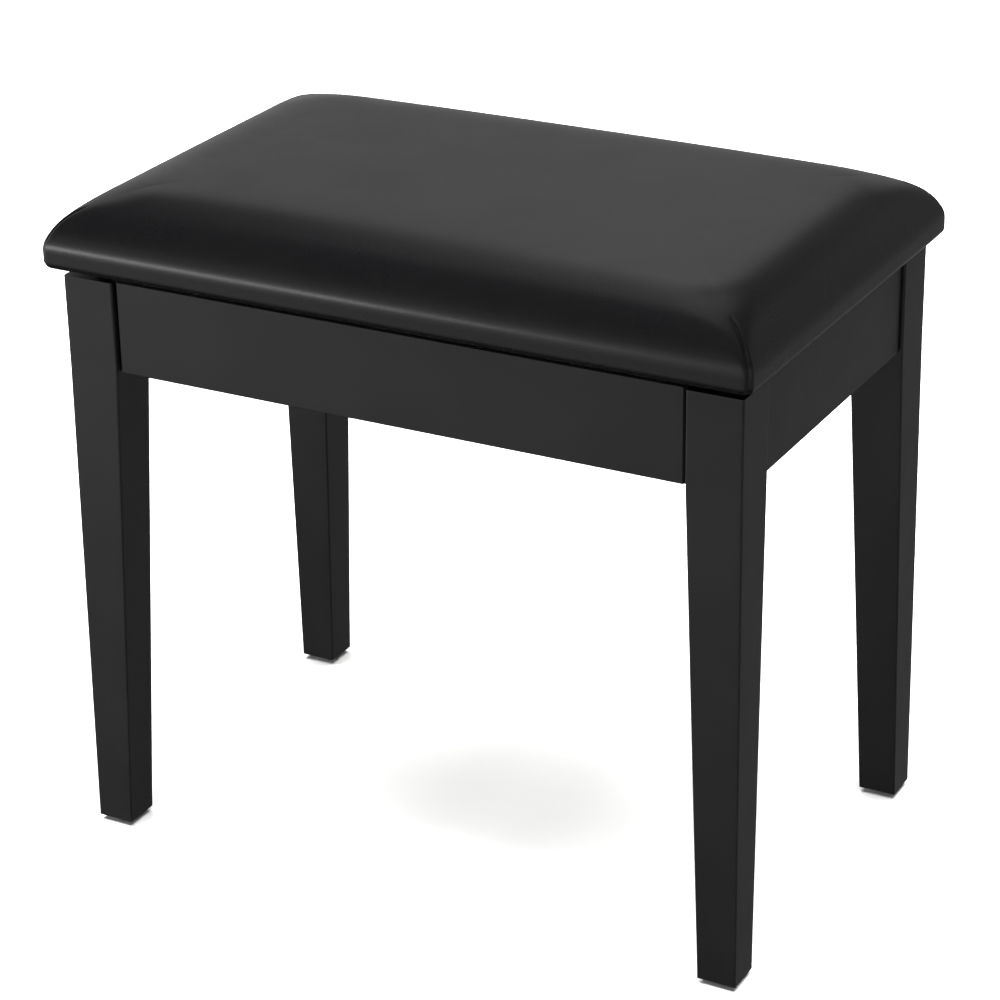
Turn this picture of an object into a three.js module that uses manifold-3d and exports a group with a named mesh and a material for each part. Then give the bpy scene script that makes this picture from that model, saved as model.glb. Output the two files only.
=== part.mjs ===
// Piano bench: a padded seat lid, hinged at the back over a shallow music compartment, on four
// tapered legs that bolt into the corners of an apron frame.
// Millimetres, +Z up. The front is towards -Y and the hinges are towards +Y. The origin is on the
// floor, under the middle of the seat.

import * as THREE from 'three';
import { mergeVertices } from 'three/addons/utils/BufferGeometryUtils.js';
import Module from 'manifold-3d';

const wasm = await Module();
wasm.setup();

// ---------------------------------------------------------------- driving dimensions

const touchGap = 0.3;            // kept between pieces that bear on each other

// Legs and glides
const legLength = 450;
const legSection = 42;           // square block beside the aprons
const footSection = 30;          // square end on the glide
const legSplay = 3;              // the foot's outer faces stand this far outside the block
const legEdgeRadius = 1.6;
const glideHeight = 4.5;
const glideRadius = 8;
const glideNailRadius = 1.2;
const glideNailLength = 12;

// Apron frame
const frameWidth = 540;          // over the leg blocks, left to right
const frameDepth = 330;          // over the leg blocks, front to back
const apronHeight = 71;
const apronThickness = 16;
const apronRecess = 2.5;         // apron face behind the leg face
const apronProud = 1;            // apron top above leg top
const apronEndChamfer = 2.5;     // on the outer corner beside each leg
const apronEdgeEase = 0.8;
const apronEndGap = 0.4;

// Corner braces and their bolts
const braceThickness = 18;
const braceToTop = 16;           // brace's top below the apron's top, under the stays' upper arms
const braceToLeg = 4.2;          // clear of the leg's inner corner
const boltRadius = 3;
const boltIntoLeg = 28;
const boltTail = 4;              // thread showing past the nut
const boltToEdge = 7.5;          // from the brace's top and bottom
const washerRadius = 6.5;
const washerThickness = 1.5;
const nutRadius = 5.8;
const nutThickness = 5;

// Music compartment
const cleatWidth = 10;
const cleatHeight = 8;
const cleatRise = 2.5;           // cleat's underside above the apron's bottom edge
const floorThickness = 4;

// Seat lid
const lidOverhangX = 10;         // beyond the legs at each end
const lidOverhangY = 13;         // beyond the legs at the front and back
const lidGap = 6.5;              // open joint between the aprons and the lid
const boardThickness = 12;
const coverThickness = 1.6;
const sideHeight = 17;           // upright side, up to the rolled top edge
const rollRadius = 28;
const crownRise = 3;
const dustCoverThickness = 0.6;
const dustCoverHem = 28;         // lid's front edge to the dust cover
const dustCoverClear = 3.3;      // from hinge leaves and stay brackets

// Lid bumpers
const bumperRadius = 6;

// Butt hinges
const hingeSpacing = 300;        // middle to middle
const hingeWidth = 60;
const leafThickness = 1.5;
const lidLeafReach = 34;         // from the pin forwards
const knuckleClear = 0.35;       // above and below the knuckles, in the lid's open joint
const pinRadius = 1.5;
const pinHeadRadius = 2.3;
const pinHeadThickness = 0.8;
const knuckleToApron = 0.7;
const hingeScrewSpacing = 40;
const hingeScrewRadius = 1.5;
const hingeScrewHeadRadius = 3.2;
const hingeScrewLength = 10;

// Folding lid stays: plate on the side apron, two arms, bracket under the lid. Pin, frame pivot,
// elbow and lid pivot stand at the corners of a parallelogram.
const stayLidDrop = 7.8;         // lid pivot below the hinge pin
const stayPlateLength = 26;
const stayPlateToBrace = 1.3;
const stayPlateToEdge = 5;       // from the compartment floor and the apron's top
const stayElbowToBrace = 4;      // arm's round end behind the front brace
const stayPlateCorner = 5;
const stayPivotRise = 5.5;       // frame pivot above the middle of its plate
const stayThickness = 2;         // plates, arms and ears
const stayDrumRadius = 11;
const stayDrumThickness = 5;
const stayArmHalfWidth = 6;
const stayStudRadius = 3;
const stayHeadRadius = 5;
const stayHeadThickness = 1.5;
const stayBracketWidth = 14;
const stayBracketLength = 44;
const stayEarMargin = 1;         // the ear's round end past the arm's

// ---------------------------------------------------------------- worked out from them

const legBottom = glideHeight;
const legTop = legBottom + legLength;
const apronTop = legTop + apronProud;
const apronBottom = apronTop - apronHeight;
const lidBottom = apronTop + lidGap;
const seatWidth = frameWidth + 2 * lidOverhangX;
const seatDepth = frameDepth + 2 * lidOverhangY;

const apronFaceX = frameWidth / 2 - apronRecess;
const apronFaceY = frameDepth / 2 - apronRecess;
const apronInnerX = apronFaceX - apronThickness;
const apronInnerY = apronFaceY - apronThickness;
const blockInnerX = frameWidth / 2 - legSection;
const blockInnerY = frameDepth / 2 - legSection;

const cleatBottom = apronBottom + cleatRise;
const floorBottom = cleatBottom + cleatHeight + touchGap;
const floorTop = floorBottom + floorThickness;
const braceBottom = floorTop + touchGap;
const braceHeight = apronTop - braceToTop - braceBottom;
const boltHeights = [boltToEdge, braceHeight - boltToEdge];

// A brace's outer and inner faces lie on lines of constant x + y, taken from the bench's middle.
const braceOuterSum = blockInnerX + blockInnerY - braceToLeg * Math.SQRT2;
const braceInnerSum = braceOuterSum - braceThickness * Math.SQRT2;
const braceInnerX = apronInnerX - touchGap;
const braceInnerY = apronInnerY - touchGap;
const clearHalfLength = braceInnerSum - braceInnerX;

const knuckleRadius = lidGap / 2 - knuckleClear;
const pinY = apronFaceY + knuckleToApron + knuckleRadius;
const pinZ = (apronTop + lidBottom) / 2;

const stayPlateHeight = apronTop - floorTop - 2 * stayPlateToEdge;
const framePivot = {
  y: clearHalfLength - stayPlateToBrace - stayPlateLength / 2,
  z: (apronTop + floorTop) / 2 + stayPivotRise,
};

// The stay's layers, as distances from the middle of the bench: [nearer, farther].
const plateLayer = [apronInnerX - touchGap - stayThickness, apronInnerX - touchGap];
const drumLayer = [plateLayer[0] - stayDrumThickness, plateLayer[0]];
const lowerArmLayer = [drumLayer[0] - touchGap - stayThickness, drumLayer[0] - touchGap];
const headLayer = [lowerArmLayer[0] - touchGap - stayHeadThickness, lowerArmLayer[0] - touchGap];
const upperArmLayer = [headLayer[0] - touchGap - stayThickness, headLayer[0] - touchGap];
const earLayer = [upperArmLayer[0] - touchGap - stayThickness, upperArmLayer[0] - touchGap];
const bracketFootLayer = [earLayer[1] - stayBracketWidth, earLayer[1]];

// The elbow lies as far forward as the front brace allows.
const elbowY = -(braceInnerSum - lowerArmLayer[1] - stayElbowToBrace - stayArmHalfWidth);
const stayLidReach = framePivot.y - elbowY;
const lidPivot = { y: pinY - stayLidReach, z: pinZ - stayLidDrop };
const elbow = { y: elbowY, z: framePivot.z - stayLidDrop };

const corners = [
  { name: 'front_left', sx: -1, sy: -1 },
  { name: 'front_right', sx: 1, sy: -1 },
  { name: 'rear_left', sx: -1, sy: 1 },
  { name: 'rear_right', sx: 1, sy: 1 },
];
const sides = [
  { name: 'left', sx: -1 },
  { name: 'right', sx: 1 },
];

// ---------------------------------------------------------------- finishes

const finish = (color, roughness, metalness) =>
  new THREE.MeshStandardMaterial({ color, roughness, metalness });
const lacquer = () => finish(0x1c1c1d, 0.42, 0);
const leather = () => finish(0x151516, 0.38, 0);
const plywood = () => finish(0x8a6a48, 0.7, 0);
const foam = () => finish(0xd9cfa8, 0.95, 0);
const backing = () => finish(0x18181a, 0.95, 0);
const zincSteel = () => finish(0xa9abad, 0.38, 1);
const rubber = () => finish(0x1a1a1a, 0.8, 0);
const nylon = () => finish(0x202022, 0.55, 0);

// ---------------------------------------------------------------- helpers

// A closed geometry as a manifold solid, with shared vertices merged and slivers dropped.
function solid(geometry) {
  const bare = geometry.clone();
  bare.deleteAttribute('normal');
  bare.deleteAttribute('uv');
  const merged = mergeVertices(bare, 1e-4);
  const index = merged.index.array;
  const kept = [];
  for (let i = 0; i < index.length; i += 3) {
    const [a, b, c] = [index[i], index[i + 1], index[i + 2]];
    if (a !== b && b !== c && c !== a) {
      kept.push(a, b, c);
    }
  }
  const vertProperties = new Float32Array(merged.attributes.position.array);
  const triVerts = new Uint32Array(kept);
  return new wasm.Manifold(new wasm.Mesh({ numProp: 3, vertProperties, triVerts }));
}

// A manifold solid back as a geometry.
function shaped(body) {
  const mesh = body.getMesh();
  const geometry = new THREE.BufferGeometry();
  const position = new THREE.BufferAttribute(new Float32Array(mesh.vertProperties), 3);
  geometry.setAttribute('position', position);
  geometry.setIndex(new THREE.BufferAttribute(new Uint32Array(mesh.triVerts), 1));
  geometry.computeVertexNormals();
  return geometry;
}

function piece(name, geometry, material, x = 0, y = 0, z = 0) {
  const mesh = new THREE.Mesh(geometry, material);
  mesh.name = name;
  mesh.position.set(x, y, z);
  return mesh;
}

// A box between two opposite corners.
function block(x0, y0, z0, x1, y1, z1) {
  const box = new THREE.BoxGeometry(x1 - x0, y1 - y0, z1 - z0);
  return box.translate((x0 + x1) / 2, (y0 + y1) / 2, (z0 + z1) / 2);
}

// A round bar along a direction, centred on a point.
function bar(radius, length, direction, centre = new THREE.Vector3(), segments = 12) {
  const round = new THREE.CylinderGeometry(radius, radius, length, segments);
  const turn = new THREE.Quaternion().setFromUnitVectors(new THREE.Vector3(0, 1, 0), direction);
  return round.applyQuaternion(turn).translate(centre.x, centre.y, centre.z);
}

// A turned piece about the Z axis, from (radius, height) pairs that rise up its outside.
function turned(profile, segments = 14) {
  const points = profile.map(([radius, height]) => new THREE.Vector2(radius, height));
  return new THREE.LatheGeometry(points, segments).rotateX(Math.PI / 2);
}

function outline(points) {
  return new THREE.Shape(points.map(([x, y]) => new THREE.Vector2(x, y)));
}

// A rectangle about the origin with round corners.
function roundedRectangle(width, height, radius) {
  const [w, h] = [width / 2 - radius, height / 2 - radius];
  const shape = new THREE.Shape();
  shape.absarc(w, h, radius, 0, Math.PI / 2, false);
  shape.absarc(-w, h, radius, Math.PI / 2, Math.PI, false);
  shape.absarc(-w, -h, radius, Math.PI, Math.PI * 1.5, false);
  shape.absarc(w, -h, radius, Math.PI * 1.5, Math.PI * 2, false);
  return shape;
}

function extruded(shape, depth, options = {}) {
  return new THREE.ExtrudeGeometry(shape, { depth, bevelEnabled: false, curveSegments: 4, ...options });
}

// A sheet whose outline is drawn in Y and Z, with its thickness along +X.
function sideSheet(shape, thickness) {
  const upright = new THREE.Matrix4().makeBasis(
    new THREE.Vector3(0, 1, 0),
    new THREE.Vector3(0, 0, 1),
    new THREE.Vector3(1, 0, 0),
  );
  return extruded(shape, thickness, { curveSegments: 6 }).applyMatrix4(upright);
}

const alongX = new THREE.Vector3(1, 0, 0);
const alongZ = new THREE.Vector3(0, 0, 1);

// ---------------------------------------------------------------- legs

// The unit vector from a leg's inner corner to its outer corner.
const outward = ({ sx, sy }) => new THREE.Vector3(sx, sy, 0).normalize();

const blockCentre = ({ sx, sy }) => new THREE.Vector3(
  sx * (frameWidth - legSection) / 2,
  sy * (frameDepth - legSection) / 2,
  0,
);

const footCentre = ({ sx, sy }) => new THREE.Vector3(
  sx * (frameWidth / 2 + legSplay - footSection / 2),
  sy * (frameDepth / 2 + legSplay - footSection / 2),
  0,
);

// How far a leg's inner corner lies from the middle of its block, along the diagonal.
const cornerReach = legSection * Math.SQRT1_2;

// The middle of one bolt's shank, from its end in the leg to its tail in the compartment.
const boltInside = braceToLeg + braceThickness + touchGap + washerThickness + nutThickness + boltTail;
const boltLength = boltIntoLeg + boltInside;

function boltCentre(corner, height) {
  const fromBlock = -cornerReach + boltIntoLeg - boltLength / 2;
  const centre = blockCentre(corner).addScaledVector(outward(corner), fromBlock);
  return centre.setZ(braceBottom + height);
}

// A square leg in two stretches: an upright block beside the aprons, and a taper on the two inner
// faces from the aprons' bottom edge down to the foot.
function makeLeg(corner) {
  const square = roundedRectangle(legSection, legSection, legEdgeRadius);
  const leg = extruded(square, 1, { steps: 2, curveSegments: 3 });
  const levels = [
    { z: legBottom, scale: footSection / legSection, centre: footCentre(corner) },
    { z: apronBottom, scale: 1, centre: blockCentre(corner) },
    { z: legTop, scale: 1, centre: blockCentre(corner) },
  ];
  const position = leg.attributes.position;
  for (let i = 0; i < position.count; i += 1) {
    const { z, scale, centre } = levels[Math.round(position.getZ(i) * 2)];
    position.setXYZ(
      i,
      centre.x + position.getX(i) * scale,
      centre.y + position.getY(i) * scale,
      z,
    );
  }
  let body = solid(leg);
  for (const height of boltHeights) {
    const centre = boltCentre(corner, height);
    body = body.subtract(solid(bar(boltRadius + touchGap, boltLength + 1, outward(corner), centre)));
  }
  const nailHole = glideNailLength + touchGap;
  const nailCentre = footCentre(corner).setZ(legBottom + nailHole / 2 - 1);
  body = body.subtract(solid(bar(glideNailRadius + touchGap, nailHole + 2, alongZ, nailCentre)));
  return shaped(body);
}

// A nail-on glide: a low dome with its nail, standing on the floor.
function makeGlide() {
  const top = glideHeight - touchGap;
  return turned([
    [0, 0],
    [glideRadius * 0.7, 0],
    [glideRadius * 0.93, glideHeight * 0.22],
    [glideRadius, glideHeight * 0.5],
    [glideRadius, top],
    [glideNailRadius, top],
    [glideNailRadius, top + glideNailLength],
    [0, top + glideNailLength],
  ]);
}

// ---------------------------------------------------------------- apron frame

// An apron lies between two legs. Its outer face is at +Y, with a chamfer at both ends.
function makeApron(length) {
  const [half, thickness] = [length / 2, apronThickness];
  const plan = outline([
    [-half, 0],
    [half, 0],
    [half, thickness - apronEndChamfer],
    [half - apronEndChamfer, thickness],
    [-half + apronEndChamfer, thickness],
    [-half, thickness - apronEndChamfer],
  ]);
  return extruded(plan, apronHeight - 2 * apronEdgeEase, {
    bevelEnabled: true,
    bevelSize: apronEdgeEase,
    bevelOffset: -apronEdgeEase,
    bevelThickness: apronEdgeEase,
    bevelSegments: 1,
  }).translate(0, 0, apronEdgeEase);
}

const longApron = 2 * (blockInnerX - apronEndGap);
const shortApron = 2 * (blockInnerY - apronEndGap);

// Screw places on one hinge leaf, across the bench from the hinge's middle.
const hingeScrewOffsets = [-hingeScrewSpacing / 2, hingeScrewSpacing / 2];
const frameScrewY = (apronInnerY + apronFaceY) / 2;
const lidScrewY = pinY - lidLeafReach + (frameScrewY - apronInnerY);
const frameLeafBottom = apronTop + touchGap;
const frameLeafTop = frameLeafBottom + leafThickness;
const lidLeafTop = lidBottom - touchGap;
const lidLeafBottom = lidLeafTop - leafThickness;

function makeRearApron() {
  let body = solid(makeApron(longApron).translate(0, apronInnerY, apronBottom));
  for (const { sx } of sides) {
    for (const offset of hingeScrewOffsets) {
      const depth = hingeScrewLength + touchGap;
      const centre = new THREE.Vector3(
        sx * hingeSpacing / 2 + offset,
        frameScrewY,
        frameLeafTop - depth / 2 + 1,
      );
      body = body.subtract(solid(bar(hingeScrewRadius + touchGap, depth + 2, alongZ, centre)));
    }
  }
  return shaped(body);
}

// A brace across one corner, from one apron to the other, with its two bolt holes.
function makeBrace(corner) {
  const { sx, sy } = corner;
  const plan = outline([
    [sx * (braceOuterSum - braceInnerY), sy * braceInnerY],
    [sx * braceInnerX, sy * (braceOuterSum - braceInnerX)],
    [sx * braceInnerX, sy * (braceInnerSum - braceInnerX)],
    [sx * (braceInnerSum - braceInnerY), sy * braceInnerY],
  ]);
  let body = solid(extruded(plan, braceHeight).translate(0, 0, braceBottom));
  for (const height of boltHeights) {
    const centre = boltCentre(corner, height);
    body = body.subtract(solid(bar(boltRadius + touchGap, boltLength + 1, outward(corner), centre)));
  }
  return shaped(body);
}

// A hanger bolt with its washer and nut, along +Z from the tail to the end in the leg.
function makeBolt() {
  const nutBottom = boltTail;
  const washerBottom = nutBottom + nutThickness;
  const nutMiddle = new THREE.Vector3(0, 0, nutBottom + nutThickness / 2);
  const washerMiddle = new THREE.Vector3(0, 0, washerBottom + washerThickness / 2);
  const shankMiddle = new THREE.Vector3(0, 0, boltLength / 2);
  return shaped(
    solid(bar(boltRadius, boltLength, alongZ, shankMiddle))
      .add(solid(bar(nutRadius, nutThickness, alongZ, nutMiddle, 6)))
      .add(solid(bar(washerRadius, washerThickness, alongZ, washerMiddle, 16))),
  ).translate(0, 0, -boltLength / 2);
}

// ---------------------------------------------------------------- music compartment

// The floor panel, notched round the four leg blocks.
function makeFloor() {
  const [x, y] = [apronInnerX - touchGap, apronInnerY - touchGap];
  const [nx, ny] = [blockInnerX - touchGap, blockInnerY - touchGap];
  const quarter = [[x, ny], [nx, ny], [nx, y]];
  const plan = [
    ...quarter,
    ...quarter.map(([a, b]) => [-a, b]).reverse(),
    ...quarter.map(([a, b]) => [-a, -b]),
    ...quarter.map(([a, b]) => [a, -b]).reverse(),
  ];
  return extruded(outline(plan), floorThickness);
}

// ---------------------------------------------------------------- seat lid

// A padded shape that stands `inset` inside the cover's outer face all round: upright sides from
// `base`, a rolled top edge and a low crown. Its grid has `rollCells` rows over each rolled edge,
// spaced by equal angles.
function makePad(inset, base) {
  const rollCells = 3;
  const flatCells = 6;
  const cells = flatCells + 2 * rollCells;
  const rollStart = flatCells / cells;
  const roll = rollRadius - inset;
  const [halfX, halfY] = [seatWidth / 2 - inset, seatDepth / 2 - inset];
  // Place along one half width, and how much of the roll's height is left there.
  const across = (u, half) => {
    if (Math.abs(u) <= rollStart) {
      return [u / rollStart * (half - roll), 1];
    }
    const angle = (Math.abs(u) - rollStart) / (1 - rollStart) * Math.PI / 2;
    return [Math.sign(u) * (half - roll * (1 - Math.sin(angle))), Math.cos(angle)];
  };
  const pad = new THREE.BoxGeometry(2, 2, 2, cells, cells, 1);
  const position = pad.attributes.position;
  for (let i = 0; i < position.count; i += 1) {
    const [x, liftX] = across(position.getX(i), halfX);
    const [y, liftY] = across(position.getY(i), halfY);
    const crown = crownRise * (1 - (x / halfX) ** 2) * (1 - (y / halfY) ** 2);
    const top = sideHeight + roll * liftX * liftY + crown;
    position.setXYZ(i, x, y, position.getZ(i) > 0 ? top : base);
  }
  return pad;
}

// The cover is a skin over the foam and down the board's edges, open underneath.
const makeCover = () => shaped(solid(makePad(0, 0)).subtract(solid(makePad(coverThickness, -1))));

const makeFoam = () => makePad(coverThickness + touchGap, boardThickness + touchGap);

function makeBoard() {
  const width = seatWidth - 2 * (coverThickness + touchGap);
  const depth = seatDepth - 2 * (coverThickness + touchGap);
  let body = solid(extruded(roundedRectangle(width, depth, 2), boardThickness));
  for (const { sx } of sides) {
    for (const offset of hingeScrewOffsets) {
      const hole = hingeScrewLength - leafThickness;
      const centre = new THREE.Vector3(sx * hingeSpacing / 2 + offset, lidScrewY, hole / 2 - 1);
      body = body.subtract(solid(bar(hingeScrewRadius + touchGap, hole + 2, alongZ, centre)));
    }
  }
  return shaped(body);
}

function makeBumper() {
  const height = lidBottom - legTop - 2 * touchGap;
  return turned([
    [0, 0],
    [bumperRadius, 0],
    [bumperRadius, height * 0.45],
    [bumperRadius * 0.8, height * 0.85],
    [bumperRadius * 0.5, height],
    [0, height],
  ]);
}

// ---------------------------------------------------------------- hinges

const knuckleLength = (hingeWidth - 2 * touchGap) / 3;
const knuckleStep = knuckleLength + touchGap;

// A hinge leaf about the pin: a flat leaf, its own knuckles rolled round the pin's hole, and a
// notch that clears the other leaf's knuckles.
function makeLeaf(reachBack, bottom, ownKnuckles, otherKnuckles, screwY, headUp) {
  const half = hingeWidth / 2;
  let leaf = solid(block(-half, -reachBack, bottom, half, 0, bottom + leafThickness));
  for (const k of ownKnuckles) {
    const centre = new THREE.Vector3(k * knuckleStep, 0, 0);
    leaf = leaf.add(solid(bar(knuckleRadius, knuckleLength, alongX, centre, 16)));
  }
  for (const k of otherKnuckles) {
    const reach = knuckleRadius + touchGap;
    const [x0, x1] = [k * knuckleStep - knuckleStep / 2, k * knuckleStep + knuckleStep / 2];
    const margin = touchGap / 2;
    leaf = leaf.subtract(solid(block(x0 - margin, -reach, -reach, x1 + margin, reach, reach)));
  }
  leaf = leaf.subtract(solid(bar(pinRadius + touchGap, hingeWidth + 2, alongX)));
  for (const offset of hingeScrewOffsets) {
    const screw = makeHingeScrew(touchGap);
    if (!headUp) {
      screw.rotateX(Math.PI);
    }
    const faceZ = headUp ? bottom + leafThickness : bottom;
    leaf = leaf.subtract(solid(screw.translate(offset, screwY, faceZ)));
  }
  return shaped(leaf);
}

// A countersunk screw along Z, its head's flat face at the origin and its point below. `margin`
// makes it the hole for that screw.
function makeHingeScrew(margin = 0) {
  const [head, shank] = [hingeScrewHeadRadius + margin, hingeScrewRadius + margin];
  return turned([
    [0, -hingeScrewLength - margin],
    [shank, -hingeScrewLength + 3 - margin],
    [shank, -leafThickness],
    [head, 0],
    [head, margin],
    [0, margin],
  ], 12);
}

function makePin() {
  const shank = solid(bar(pinRadius, hingeWidth + 2 * touchGap + 1, alongX));
  const heads = [-1, 1].map((end) => {
    const x = end * (hingeWidth / 2 + touchGap + pinHeadThickness / 2);
    return solid(bar(pinHeadRadius, pinHeadThickness, alongX, new THREE.Vector3(x, 0, 0)));
  });
  return shaped(shank.add(heads[0]).add(heads[1]));
}

// ---------------------------------------------------------------- lid stays

// Puts a sheet or bar that spans the layer from 0 to its thickness on its side of the bench.
const layerStart = (sx, [near, far]) => (sx > 0 ? near : -far);

// A round bar along X over a layer, on one side of the bench.
function layerBar(sx, radius, [near, far], segments = 12) {
  const centre = new THREE.Vector3(sx * (near + far) / 2, 0, 0);
  return solid(bar(radius, far - near, alongX, centre, segments));
}

// A flat arm with round ends and a hole at each, from its own pivot at (0, 0) to (y, z).
function makeArm(y, z, holeRadius) {
  const angle = Math.atan2(z, y);
  const quarter = Math.PI / 2;
  const shape = new THREE.Shape();
  shape.absarc(y, z, stayArmHalfWidth, angle - quarter, angle + quarter, false);
  shape.absarc(0, 0, stayArmHalfWidth, angle + quarter, angle + 3 * quarter, false);
  for (const [cy, cz] of [[0, 0], [y, z]]) {
    const hole = new THREE.Path();
    hole.absarc(cy, cz, holeRadius, 0, 2 * Math.PI, true);
    shape.holes.push(hole);
  }
  return sideSheet(shape, stayThickness);
}

// The plate on the side apron, with its friction drum and the headed stud for the lower arm.
function makeFramePlate(sx) {
  const sheet = sideSheet(
    roundedRectangle(stayPlateLength, stayPlateHeight, stayPlateCorner),
    stayThickness,
  ).translate(layerStart(sx, plateLayer), 0, -stayPivotRise);
  return shaped(
    solid(sheet)
      .add(layerBar(sx, stayDrumRadius, [drumLayer[0], drumLayer[1] + stayThickness / 2], 20))
      .add(layerBar(sx, stayStudRadius, [headLayer[0] + stayHeadThickness / 2, drumLayer[1]]))
      .add(layerBar(sx, stayHeadRadius, headLayer, 16)),
  );
}

// The elbow rivet through both arms, with a head on each side and a collar between them.
function makeRivet(sx) {
  const outer = [lowerArmLayer[1] + touchGap, lowerArmLayer[1] + touchGap + stayHeadThickness];
  const inner = [upperArmLayer[0] - touchGap - stayHeadThickness, upperArmLayer[0] - touchGap];
  return shaped(
    layerBar(sx, stayStudRadius, [inner[0] + stayHeadThickness / 2, outer[1] - stayHeadThickness / 2])
      .add(layerBar(sx, stayHeadRadius, outer, 16))
      .add(layerBar(sx, stayHeadRadius, headLayer, 16))
      .add(layerBar(sx, stayHeadRadius, inner, 16)),
  );
}

// The bracket under the lid: a flat foot, an ear that hangs from it and a headed stud.
function makeLidBracket(sx) {
  const top = lidBottom - touchGap - lidPivot.z;
  const half = stayArmHalfWidth + stayEarMargin;
  const shape = new THREE.Shape();
  shape.absarc(0, 0, half, Math.PI, 2 * Math.PI, false);
  shape.lineTo(half, top);
  shape.lineTo(-half, top);
  const ear = sideSheet(shape, stayThickness).translate(layerStart(sx, earLayer), 0, 0);
  const footStart = layerStart(sx, bracketFootLayer);
  const foot = block(
    footStart,
    -stayBracketLength / 2,
    top - stayThickness,
    footStart + stayBracketWidth,
    stayBracketLength / 2,
    top,
  );
  const headNear = upperArmLayer[1] + touchGap;
  const head = [headNear, headNear + stayHeadThickness];
  return shaped(
    solid(ear)
      .add(solid(foot))
      .add(layerBar(sx, stayStudRadius, [earLayer[0] + stayThickness / 2, head[1] - stayHeadThickness / 2]))
      .add(layerBar(sx, stayHeadRadius, head, 16)),
  );
}

// The cloth under the seat board, clear of the hinges' leaves and the stays' brackets.
function makeDustCover() {
  const halfWidth = bracketFootLayer[0] - dustCoverClear;
  const front = -seatDepth / 2 + dustCoverHem;
  const back = pinY - lidLeafReach - dustCoverClear;
  const top = lidBottom - touchGap;
  return block(-halfWidth, front, top - dustCoverThickness, halfWidth, back, top);
}

// ---------------------------------------------------------------- the bench

const frame = new THREE.Group();
const lid = new THREE.Group();

for (const corner of corners) {
  const foot = footCentre(corner);
  frame.add(piece(`leg_${corner.name}`, makeLeg(corner), lacquer()));
  frame.add(piece(`foot_glide_${corner.name}`, makeGlide(), nylon(), foot.x, foot.y, 0));
  frame.add(piece(`corner_brace_${corner.name}`, makeBrace(corner), lacquer()));
  boltHeights.forEach((height, level) => {
    const name = `leg_bolt_${level === 0 ? 'lower' : 'upper'}_${corner.name}`;
    const centre = boltCentre(corner, height);
    const bolt = piece(name, makeBolt(), zincSteel(), centre.x, centre.y, centre.z);
    bolt.quaternion.setFromUnitVectors(alongZ, outward(corner));
    frame.add(bolt);
  });
}

const frontApron = piece('apron_front', makeApron(longApron), lacquer(), 0, -apronInnerY, apronBottom);
frontApron.rotation.z = Math.PI;
frame.add(frontApron);
frame.add(piece('apron_rear', makeRearApron(), lacquer()));

for (const { name, sx } of sides) {
  const apron = makeApron(shortApron);
  const side = piece(`apron_${name}`, apron, lacquer(), sx * apronInnerX, 0, apronBottom);
  side.rotation.z = -sx * Math.PI / 2;
  frame.add(side);
  const cleatX = sx * (apronInnerX - touchGap - cleatWidth / 2);
  const cleatLength = 2 * (blockInnerY - touchGap);
  const cleat = new THREE.BoxGeometry(cleatWidth, cleatLength, cleatHeight);
  frame.add(piece(`floor_cleat_${name}`, cleat, lacquer(), cleatX, 0, cleatBottom + cleatHeight / 2));
}

for (const [name, sy] of [['front', -1], ['rear', 1]]) {
  const cleatY = sy * (apronInnerY - touchGap - cleatWidth / 2);
  const cleatLength = 2 * (blockInnerX - touchGap);
  const cleat = new THREE.BoxGeometry(cleatLength, cleatWidth, cleatHeight);
  frame.add(piece(`floor_cleat_${name}`, cleat, lacquer(), 0, cleatY, cleatBottom + cleatHeight / 2));
}

frame.add(piece('compartment_floor', makeFloor(), lacquer(), 0, 0, floorBottom));

for (const corner of corners.filter(({ sy }) => sy < 0)) {
  const centre = blockCentre(corner);
  const bumper = makeBumper();
  frame.add(piece(`lid_bumper_${corner.name}`, bumper, rubber(), centre.x, centre.y, legTop + touchGap));
}

lid.add(piece('seat_board', makeBoard(), plywood(), 0, 0, lidBottom));
lid.add(piece('seat_foam', makeFoam(), foam(), 0, 0, lidBottom));
lid.add(piece('seat_cover', makeCover(), leather(), 0, 0, lidBottom));
lid.add(piece('dust_cover', makeDustCover(), backing()));

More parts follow.
